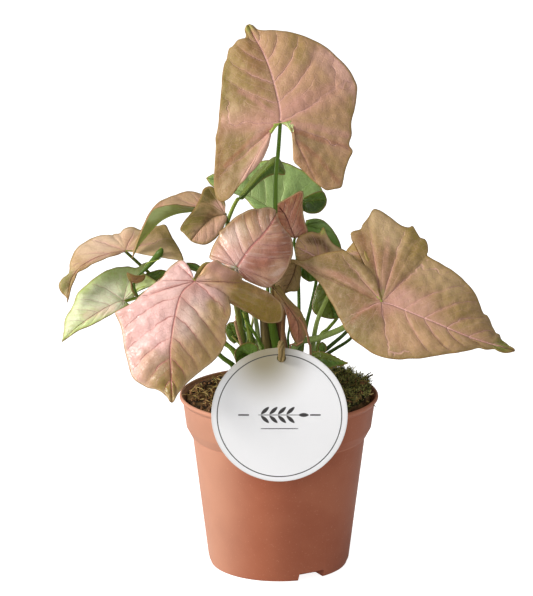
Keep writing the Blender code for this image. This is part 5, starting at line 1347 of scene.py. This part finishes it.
# The small leaves low between the petioles: dark juvenile blades with no pink, two brown ones
# that hang limp, and a toothed one that lies over the peat.
LOW_LEAVES = {
    "leaf_brown": dict(
        finish="brown", depth=12, lean=(0, 0.1), quilt=0.4, upper=("tan", "khaki"),
        lower=("olive", "olive"), base=(10.5, 186.5), tip=(3, 167.5, 2), midrib=[(8.5, 179, 1)],
        left=[(7, 188.5), (3, 186, -1), (-2, 179.5, -1), (-2.5, 173.5), (0.5, 169, 1)],
        right=[(12.5, 186), (13, 179.5), (11.5, 170, 1), (6.5, 169, 2)]),
    "leaf_hanging": dict(
        finish="brown", depth=-14, lean=(0.05, 0.25), swell=0.5, veins=(2, 5), bend=0.6, ruffle=0.4,
        upper=("dusky", "dusky"), lower=("olive", "olive"), base=(-3.5, 171.5), tip=(11, 135, 6),
        midrib=[(3.5, 162, 5), (11, 150.5, 6), (12, 142, 6)],
        left=[(-5, 169), (-2.5, 163.5, -2), (2.5, 160, -3), (5, 153.5, -2), (7, 143, 2)],
        right=[(0, 173, -2), (5, 165.5, -2), (12, 157.5, -2), (16, 150.5, -2), (17, 144), (14.5, 138, 4)],
        patches=[(-2, 170, 7, 162, 14, 151, 18, 140, 3.2, "ochre", 0.9), (1, 171, 3, "ochre", 0.8),
            (5, 155, 10, 143, 4.5, "brick", 0.85)]),
    "leaf_inner_left": dict(
        depth=-6, lean=(0, 0.2), swell=0.8, quilt=0.4, upper=("deep_green", "deep_green"),
        base=(-24.5, 138), tip=(-30, 150), midrib=[(-27.5, 144, 1)],
        left=[(-27, 136.5), (-30.5, 140), (-32.5, 146)],
        right=[(-23, 140.5), (-23, 146), (-25, 150)]),
    "leaf_inner_mid": dict(
        depth=-8, lean=(0, 0.2), swell=0.8, quilt=0.4, upper=("dusky", "leaf_green"), base=(-2, 131.5),
        tip=(-8, 152.5), midrib=[(-5, 141.5, 1)],
        left=[(-5.5, 132.5), (-9.5, 139), (-11, 148)],
        right=[(2, 134), (2.5, 142), (-2, 150)]),
    "leaf_cup": dict(
        depth=-30, lean=(0, 0.3), swell=0.5, quilt=0.2, under=(0.2, 0.4, -1),
        upper=("deep_green", "leaf_green"), base=(-16, 127.5), tip=(-26, 125, 4), midrib=[(-20, 130, -4),
        (-23.5, 129, -2)],
        left=[(-15, 125), (-19, 123, 2), (-23.5, 123, 4)],
        right=[(-12.5, 131.5), (-13, 135.5, -2), (-18, 137.5, -4), (-23.5, 135.5, -2), (-26.5, 131.5, 2)]),
    "leaf_toothed": dict(
        finish="mid_green", look="deep_green", depth=-30, lean=(0, 0.3), swell=0.8, veins=(2, 5),
        bend=0.6, ruffle=0.2, teeth=0.7, upper=("moss", "deep_green"), lower=("lime", "lime"),
        base=(20, 128), tip=(42, 124.5, 2), midrib=[(26, 127.5, 1), (34.5, 126, 1)],
        left=[(20.5, 132), (26, 132), (32, 130), (37.5, 127)],
        right=[(21, 124), (26, 120.5), (31.5, 121), (37.5, 122.5)]),
    "leaf_stub": dict(
        depth=-14, lean=(0, 0.2), swell=0.5, veins=(1, 2), bend=0.5, quilt=0.2, ruffle=0.2,
        upper=("leaf_green", "deep_green"), base=(26, 131.5), tip=(26, 138), midrib=[(26, 134.5, 1)],
        left=[(23.5, 132.5), (23.5, 135.5)],
        right=[(28.5, 132), (28.5, 135.5)]),
    "leaf_hidden": dict(
        depth=9, lean=(0, 0.1), veins=(2, 4), quilt=0.5, upper=("moss", "deep_green"), base=(31.5, 173.5),
        tip=(33, 152, 2), midrib=[(31, 163.5, 1)],
        left=[(27.5, 176.5, -1), (23.5, 173.5, -1), (20, 162), (21, 156, 1), (27, 153, 2)],
        right=[(36.5, 176.5, -1), (42, 171, -1), (43, 162, -1), (39.5, 154.5, 1)]),
}
build_leaves(LOW_LEAVES)


# The leaves at the back, out of sight from the front: two tan ones, a green one and a dusty rose
# one. They face away from the front and droop.
BACK_LEAVES = {
    "leaf_back_right": dict(
        finish="tan", depth=40, lean=(0.25, -0.45), swell=-1.5, veins=(3, 5), quilt=0.6, ruffle=0.4,
        upper=("tan", "brown"), base=(63, 172.5), tip=(112.5, 143, -4), midrib=[(78.5, 165.5, -2),
        (96.5, 155, -3)],
        left=[(63, 178.5), (67.5, 187), (77, 191.5), (89, 183.5), (103.5, 163.5, -1)],
        right=[(57, 171), (48.5, 166), (52, 151), (70.5, 139), (94.5, 140, -2)]),
    "leaf_back_low": dict(
        finish="mid_green", depth=26, lean=(0.1, -0.5), swell=-1.5, veins=(3, 4), quilt=0.5, ruffle=0.4,
        upper=("leaf_green", "sage"), lower=("lime", "lime"), base=(46, 155), tip=(80, 132.5, -8),
        midrib=[(57, 148.5, -3), (69, 140.5, -6)],
        left=[(48.5, 160), (55.5, 165), (67.5, 158.5, -1), (76.5, 145, -4)],
        right=[(42.5, 153.5), (38.5, 155), (44, 142.5), (59.5, 133, -3)]),
    "leaf_back_left": dict(
        finish="tan", depth=38, lean=(-0.25, -0.45), swell=-1.5, veins=(3, 5), quilt=0.6, ruffle=0.4,
        upper=("sand", "tan"), base=(-54.5, 160), tip=(-76.5, 119, -8), midrib=[(-62, 147.5, -2),
        (-70.5, 132.5, -5)],
        left=[(-59.5, 161), (-71.5, 162.5), (-82, 152.5), (-83.5, 136.5, -2)],
        right=[(-50, 157.5), (-42.5, 150), (-47.5, 135, -1), (-62, 122.5, -4)]),
    "leaf_back_centre": dict(
        finish="rose", depth=54, lean=(-0.1, -0.6), swell=-1.5, veins=(3, 4), quilt=0.6, ruffle=0.4,
        upper=("dusky", "brown"), base=(-12.5, 202), tip=(-20, 176, -8), midrib=[(-15, 193, -3),
        (-17.5, 184, -6)],
        left=[(-17.5, 204.5), (-24.5, 205.5), (-30.5, 198), (-29.5, 186, -3)],
        right=[(-8, 203), (-0.5, 203), (3, 195.5), (-4, 183.5, -3)]),
}
build_leaves(BACK_LEAVES)


# The shoots: short green stems that root in the peat, each with the petioles that grow out of it.
# A petiole clasps the stem with a wide sheath, thins out upwards and ends under its blade.
SHOOT_RADIUS = 3.6
SHOOT_BOTTOM = 92
SHOOT_TOP = 106
SOIL_FOOT = 101
STALK_STEP = 2.0 * MM
STALK_TAPER = (1.25, 0.75)
SHEATH_WIDENING = 0.9
SHEATH_LENGTH = 22
APPROACH = 4 * MM
STEM_POINTS = 8
STALK_STREAKS = (1600, 1600, 60)
# Heights along a shoot in mm, and the share of its full radius there
STEM_SHAPE = ((SHOOT_BOTTOM, 98, 99.5, 101, SHOOT_TOP - 2, SHOOT_TOP), (0.9, 0.95, 1.05, 0.95, 0.85, 0.4))
SHOOTS = {
    "shoot_centre": (0, 2), "shoot_left": (-17, -6), "shoot_rear_left": (-15, 16),
    "shoot_front": (5, -27), "shoot_right": (18, -2), "shoot_rear": (6, 24),
}
# Each petiole, by shoot and leaf: its radius in mm, the tissue at its foot and its tip, its route
PETIOLES = {
    "shoot_centre": {
        "leaf_top": (1.5, "deep_green", "grass", [(-2, 145, 3), (-4, 173, 4), (-4, 197.5, 4),
            (-2.5, 214, 4), (-2, 237.5, 5), (-0.5, 255.5, 5)]),
        "leaf_centre": (1.4, "grass", "cream_pink", [(-11, 133, -6), (-14, 151, -8), (-20, 166.5, -8),
            (-24.5, 178.5, -12)]),
        "leaf_rear_pink": (1.1, "deep_green", "leaf_green", [(11.5, 135.5, 8), (12, 156, 14),
            (11.5, 179, 19), (10.5, 191.5, 20), (9, 199, 18)]),
        "leaf_inner_mid": (1.3, "leaf_green", "deep_green", [(-1, 125, -4)]),
    },
    "shoot_left": {
        "leaf_front": (1.7, "leaf_green", "ochre", [(-22, 137, -12), (-24.5, 154.5, -17),
            (-28, 171.5, -21), (-34, 181.5, -28), (-42.5, 186, -29), (-47.5, 182, -33)]),
        "leaf_pale": (1.2, "leaf_green", "lime", [(-26.5, 130.5, -8), (-38.5, 140, -8), (-59.5, 156, -8),
            (-76, 169, -8), (-84.5, 165.5, -8)]),
        "leaf_inner_left": (1.1, "leaf_green", "deep_green", [(-21.5, 131.5, -8)]),
    },
    "shoot_rear_left": {
        "leaf_far_left": (1.2, "leaf_green", "moss", [(-27, 122.5, 2), (-36.5, 130.5, 0), (-58, 156, 2),
            (-76, 178.5, 6), (-83.5, 186, 3)]),
        "leaf_olive": (1.3, "leaf_green", "moss", [(-20, 135.5, 6), (-26, 163.5, 6), (-30, 191.5, 6),
            (-30, 208, 5)]),
        "leaf_narrow": (1.5, "leaf_green", "lime", [(-17, 135.5, 12), (-21.5, 163.5, 12),
            (-29.5, 194.5, 12), (-31, 209, 12), (-28.5, 218, 13)]),
        "leaf_arching": (1.1, "leaf_green", "leaf_green", [(-20, 135.5, 22), (-23.5, 163.5, 21),
            (-28, 191.5, 20), (-34, 205, 20), (-40, 213.5, 18)]),
        "leaf_back_left": (1.1, "leaf_green", "moss", [(-24.5, 129, 12), (-32, 137, 18),
            (-44.5, 150, 32)]),
    },
    "shoot_front": {
        "leaf_hanging": (1.4, "dusky", "brown", [(2.5, 135.5, -30), (2.5, 148, -17), (3, 158.5, -8),
            (0, 168, -6)]),
        "leaf_cup": (0.9, "leaf_green", "deep_green", [(-10, 122.5, -30)]),
        "leaf_toothed": (1.1, "leaf_green", "leaf_green", [(14, 122.5, -30)]),
        "leaf_right": (1.9, "sage", "lime", [(9, 133.6, -15), (24, 140.2, -13), (39, 146.8, -11),
            (52, 157, -8), (59.5, 168.5, -8), (61, 170.5, -14)]),
    },
    "shoot_right": {
        "leaf_fold": (1.4, "sage", "lime", [(21.5, 144, -6), (28, 163, -2), (33.5, 173, 2),
            (37, 178, 6)]),
        "leaf_hidden": (1.1, "lime", "leaf_green", [(24, 138.5, 4), (29.5, 146, 8), (35, 153, 13),
            (37, 160, 16), (34.5, 169, 16)]),
        "leaf_stub": (1, "deep_green", "deep_green", [(22.5, 126.5, -8)]),
        "leaf_back_right": (1.1, "night_green", "deep_green", [(22, 126.5, 3), (30, 134.5, 6),
            (40.5, 144, 8), (50, 156, 10), (57, 168.5, 25)]),
    },
    "shoot_rear": {
        "leaf_gloss": (1.1, "leaf_green", "leaf_green", [(15, 142, 14), (17, 151, 16), (22, 174, 24),
            (22, 187, 32), (18, 203.5, 34)]),
        "leaf_rear_green": (1.2, "leaf_green", "sage", [(-2, 145, 26), (-3.5, 170, 32), (0, 194.5, 38),
            (0.5, 211.5, 40)]),
        "leaf_back_low": (1.1, "night_green", "deep_green", [(20.5, 123.5, 16), (30, 131, 20),
            (43, 139.8, 20), (45, 147.5, 18)]),
        "leaf_back_centre": (1.2, "leaf_green", "moss", [(-5.5, 139, 34), (-6.5, 163.5, 44),
            (-8, 187, 50)]),
    },
}
# Petioles that spring from another petiole, at their first point
BRANCHES = {
    "shoot_centre": {
        "leaf_brown": (0.8, "leaf_green", "moss", [(11.5, 179, 19), (12, 183, 17)]),
    },
    "shoot_left": {
        "leaf_scrap": (0.8, "leaf_green", "dusky", [(-76, 169, -8), (-81, 165.5, -12), (-85, 166, -19),
            (-88, 170.5, -22)]),
        "leaf_rolled": (0.8, "leaf_green", "deep_green", [(-85, 166, -19), (-87, 172.5, -19),
            (-85, 177.5, -15)]),
    },
    "shoot_rear_left": {
        "leaf_small_dark": (0.9, "leaf_green", "deep_green", [(-58, 156, 2), (-74, 172.5, 5)]),
        "leaf_speck": (0.7, "leaf_green", "deep_green", [(-36.5, 130.5, 0), (-44, 151, 0),
            (-47.5, 170, -1), (-46.5, 178, -4)]),
    },
    "shoot_rear": {
        "leaf_rear_dark": (0.9, "leaf_green", "deep_green", [(-3.5, 170, 32), (3, 194.5, 34),
            (10.5, 216, 31)]),
    },
}
# The young leaf that is still rolled up: places along it in mm, with its radius there
ROLLED_LEAF = [
    (-82.5, 180.5, -12, 0.9), (-79, 184, -13, 1.3), (-75, 188.5, -14, 1.7), (-71.5, 192.5, -15, 2.1),
    (-70, 195, -15, 1.3), (-69.6, 195.6, -15, 0.4),
]


def stalk_tree():
    """Turns runs of edges into tubes, with the radius that each point carries."""
    tree, sockets, given = group_tree("stalks", "GeometryNodeTree", {
        "Geometry": "Geometry", "Sides": "Int", "Finish": "Material"}, {"Geometry": "Geometry"})
    runs = new_node(tree, "GeometryNodeMeshToCurve", {"Mesh": given["Geometry"]})
    radius = new_node(tree, "GeometryNodeInputNamedAttribute", {"Name": "radius_wanted"}, data_type="FLOAT")
    ready = new_node(tree, "GeometryNodeSetCurveRadius", {
        "Curve": runs.outputs[0], "Radius": radius.outputs["Attribute"]})
    ring = new_node(tree, "GeometryNodeCurvePrimitiveCircle", {"Resolution": given["Sides"], "Radius": 1.0})
    tubes = new_node(tree, "GeometryNodeCurveToMesh", {
        "Curve": ready.outputs[0], "Profile Curve": ring.outputs[0], "Fill Caps": True,
        "Scale": radius.outputs["Attribute"]})
    done = new_node(tree, "GeometryNodeSetMaterial", {
        "Geometry": tubes.outputs[0], "Material": given["Finish"]})
    new_node(tree, "NodeGroupOutput", {"Geometry": done.outputs[0]})
    return tree, sockets


stalk_nodes, stalk_sockets = stalk_tree()


def stalks(name, runs, finish, sides=16, drawn_plain=True):
    """A piece of tubes, one for each run of points, radii and colours. A closed run is a loop."""
    points, radii, colours, edges = [], [], [], []
    for line, widths, tints_along, closed in runs:
        first = len(points)
        count = len(line)
        points += [tuple(point) for point in line]
        radii += list(widths)
        colours += [(*colour, 1) for colour in tints_along]
        edges += [(first + i, first + i + 1) for i in range(count - 1)]
        if closed:
            edges.append((first + count - 1, first))
    mesh = bpy.data.meshes.new(name)
    mesh.from_pydata(points, edges, [])
    mesh.attributes.new("radius_wanted", "FLOAT", "POINT").data.foreach_set("value", radii)
    tint = mesh.attributes.new("tint", "FLOAT_COLOR", "POINT")
    tint.data.foreach_set("color", np.array(colours, np.float32).ravel())
    made = add_piece(name, mesh)
    step = made.modifiers.new("tubes", "NODES")
    step.node_group = stalk_nodes
    step[stalk_sockets["Sides"].identifier] = sides
    step[stalk_sockets["Finish"].identifier] = finish
    applied(made)
    made.data.shade_smooth()
    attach(made, "root")
    if drawn_plain:
        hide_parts(name)


def stalk_finish(name, roughness, streaks):
    """A stalk's skin: its own colour under fine lengthwise streaks."""
    made, tree, shader = surface(name, roughness, Specular_IOR_Level=0.2)
    place = new_node(tree, "ShaderNodeTexCoord").outputs["Object"]
    drawn_out = vectors(tree, "MULTIPLY", place, STALK_STREAKS)[0]
    streak = new_node(tree, "ShaderNodeTexNoise", {
        "Vector": drawn_out, "Scale": 1, "Detail": 3}).outputs["Fac"]
    tint = new_node(tree, "ShaderNodeAttribute", attribute_name="tint").outputs["Color"]
    colour = mixed(tree, spread(tree, streak, 0.35, 0.7, 0, streaks), tint, (0.45, 0.42, 0.35), "MULTIPLY")
    painted(tree, shader, colour, streak, 0.2 * MM)
    return made


def shaded(low, high, count):
    """Colours from one tissue to another, for each point of a run."""
    share = np.linspace(0, 1, count)[:, None]
    return np.array(TISSUE[low]) * (1 - share) + np.array(TISSUE[high]) * share


def petiole_run(name, root, radius, foot, tip, route):
    """A petiole to the underside of its blade, from its root in a shoot or from another petiole."""
    keys = [seen_at(*point) for point in route]
    if root:
        keys.insert(0, Vector((*root, SHOOT_TOP - SHOOT_RADIUS)) * MM)
    if name in ALL_LEAVES:
        leaf = ALL_LEAVES[name]
        end = placed(leaf, leaf["base"])
        under = Vector(-facing(leaf)) * math.copysign(1, leaf["swell"])
        if "under" in leaf:
            under = Vector(leaf["under"]).normalized()
    else:
        end, following = (seen_at(*knot[:3]) for knot in ROLLED_LEAF[:2])
        under = (end - following).normalized()
    keys += [end + under * APPROACH, end + under * BLADE_THICKNESS / 2]
    line = smooth_points(keys, CURVE_PARTS)
    line = evenly_spaced(line, max(2 * len(keys), round(run_length(line) / STALK_STEP)))
    along = np.linspace(0, run_length(line) / MM, len(line))
    widths = np.linspace(*STALK_TAPER, len(line)) * radius * MM
    if root:
        widths *= 1 + SHEATH_WIDENING * np.exp(-(along / SHEATH_LENGTH) ** 2)
    return line, widths, shaded(foot, tip, len(line)), False


stem_skin = stalk_finish("stem", 0.38, 0.5)
for shoot, root in SHOOTS.items():
    heights = np.linspace(SHOOT_BOTTOM, SHOOT_TOP, STEM_POINTS)
    line = np.array([(*root, height) for height in heights]) * MM
    widths = SHOOT_RADIUS * np.interp(heights, *STEM_SHAPE) * MM
    runs = [(line, widths, [TISSUE["moss"]] * len(line), False)]
    runs += [petiole_run(name, root, *values) for name, values in PETIOLES[shoot].items()]
    runs += [petiole_run(name, None, *values) for name, values in BRANCHES.get(shoot, {}).items()]
    stalks(shoot, runs, stem_skin)


# Young petioles and sheaths that crowd the foot of the shoots, with no blade to be seen. Each: its
# radius at the foot and at the top, the tissue there, its depth, and its route on the elevation
YOUNG_PARTS = 24
YOUNG_STEMS = [
    (1.5, 1.1, "reed", "sage", -13, [(-9.6, 126.5), (-11.4, 135.8), (-13.2, 146.4), (-14.4, 157.6)]),
    (1.3, 0.9, "lime", "leaf_green", -9, [(-12.6, 126.5), (-15, 135.8), (-17.4, 145.2), (-21.6, 156.4)]),
    (1.1, 0.8, "dusky", "pink", -11, [(-21.6, 126.5), (-22.8, 135.8), (-24.6, 145.2), (-25.8, 153.9)]),
    (1.2, 0.8, "reed", "leaf_green", -5, [(-10.2, 129.6), (-13.8, 137.7), (-19.8, 145.2),
        (-24.6, 150.2)]),
    (1.1, 0.7, "reed", "reed", -3, [(-19.2, 125.2), (-19.2, 135.8), (-16.8, 145.2), (-15, 155.1)]),
    (1, 0.7, "reed", "reed", -7, [(-16.2, 125.2), (-20.4, 132.7), (-24.6, 137.7), (-28.2, 141.4)]),
    (3.2, 2.6, "moss", "drab", -12, [(-6.6, 125.2), (-7.2, 132.7), (-8.4, 142.1), (-9, 152.6)]),
    (2.9, 2.4, "leaf_green", "grass", -15, [(-0.6, 125.2), (-1.2, 132.7), (-3, 142.1), (-4.8, 152.6)]),
    (2.6, 2.2, "drab", "dusky", -12, [(3.6, 125.2), (3.3, 132.7), (1.8, 142.1), (0, 152.6)]),
    (1, 0.7, "leaf_green", "leaf_green", 2, [(5.4, 125.2), (6, 132.7), (5.4, 140.2), (6.6, 147.7)]),
    (1.2, 0.8, "leaf_green", "reed", -3, [(13.3, 125.2), (14.4, 135.8), (14.4, 145.2), (15, 152.6)]),
    (1.3, 0.9, "pink", "fawn", -21, [(-21.6, 131.5), (-22.8, 137.1), (-24.6, 143.3), (-26.4, 150.8)]),
    (0.9, 0.7, "lime", "lime", -19, [(-16.8, 133.3), (-17.4, 139), (-19.2, 148.3), (-21.6, 156.4)]),
    (1.1, 0.8, "leaf_green", "grass", -21, [(-9.6, 132.7), (-11.4, 137.1), (-15.6, 144.6),
        (-20.4, 152.6)]),
    (0.9, 0.7, "drab", "dusky", -36, [(19, 131.5), (18, 137.1), (17, 142.7), (14.2, 149.5), (12, 153)]),
    (0.6, 0.5, "fawn", "dusky", -38, [(6.6, 133.3), (10.2, 135.2), (14.4, 138)]),
]
runs = []
for foot, top, low, high, depth, route in YOUNG_STEMS:
    keys = [seen_at(x, z, depth) for x, z in route]
    keys.insert(0, Vector((keys[0].x, keys[0].y, (SOIL_FOOT - 2) * MM)))
    line = evenly_spaced(smooth_points(keys, CURVE_PARTS), YOUNG_PARTS)
    runs.append((line, np.linspace(foot, top, len(line)) * MM, shaded(low, high, len(line)), False))
stalks("young_stems", runs, stem_skin, drawn_plain=False)


# The young leaf at the left that is still rolled up: a dark club with the edge of its outer turn
# running round it.
SEAM_RADIUS = 0.25 * MM
SEAM_TURNS = 1.6
keys = np.array([(*seen_at(x, z, depth), radius * MM) for x, z, depth, radius in ROLLED_LEAF])
club = smooth_points(keys, 6)
club_line, club_widths = club[:, :3], club[:, 3]
heading = Vector(club_line[-1] - club_line[0]).normalized()
beside = heading.orthogonal()
turns = np.linspace(0, SEAM_TURNS * 2 * math.pi, len(club_line))
seam = np.array([Vector(point) + Matrix.Rotation(turn, 3, heading) @ beside * width
                 for point, turn, width in zip(club_line, turns, club_widths)])
seam = seam[2:-2]
stalks("leaf_rolled", [
    (club_line, club_widths, [TISSUE["deep_green"]] * len(club_line), False),
    (seam, [SEAM_RADIUS] * len(seam), [TISSUE["lime"]] * len(seam), False)],
    stalk_finish("rolled_leaf", 0.3, 0.3))


# The tie is a loop of brown raffia: five twisted strands that pass through the card's hole and
# round a petiole behind it.
TIE_ROUTE = [
    (1.3, -60.9, 144.5), (1.3, -60.8, 149), (1.2, -57.4, 152.4), (0.8, -53.6, 149.2), (-0.6, -47, 144),
    (-1.8, -39, 141), (-2, -31, 139.2), (2.4, -24.6, 138), (6.9, -31, 138), (6, -40, 139), (4, -48, 141),
    (1.9, -54.2, 143.2), (1.3, -57.7, 143.8),
]
TIE_PARTS = 220
TIE_COLOUR = (160, 136, 88)
ACROSS_TIE = Vector((0.3, 0.2, 1))
TIE_RADIUS = 2.1
TIE_STRANDS = 5
TIE_TWISTS = 7
STRAND_RADIUS = 0.85
tie_line = evenly_spaced(smooth_points(np.array(TIE_ROUTE) * MM, 8, closed=True), TIE_PARTS)[:-1]
ahead = np.roll(tie_line, -1, axis=0) - np.roll(tie_line, 1, axis=0)
runs = []
for strand_number in range(TIE_STRANDS):
    line = []
    for i, (point, heading) in enumerate(zip(tie_line, ahead)):
        turn = 2 * math.pi * (TIE_TWISTS * i / len(tie_line) + strand_number / TIE_STRANDS)
        up = Vector(heading).normalized()
        beside = up.cross(ACROSS_TIE).normalized()
        away = Matrix.Rotation(turn, 3, up) @ beside
        line.append(Vector(point) + away * (TIE_RADIUS - STRAND_RADIUS) * MM)
    shade = 0.75 + 0.35 * noise.noise(Vector((strand_number * 2.3, 5, 1)))
    widths = [STRAND_RADIUS * (1 + 0.15 * noise.noise(Vector((i / 6, strand_number, 2)))) * MM
              for i in range(len(line))]
    tint = [tuple(np.array(linear(*TIE_COLOUR)) * shade)] * len(line)
    runs.append((line, widths, tint, True))
stalks("tag_tie", runs, stalk_finish("raffia", 0.7, 0.6), 8)
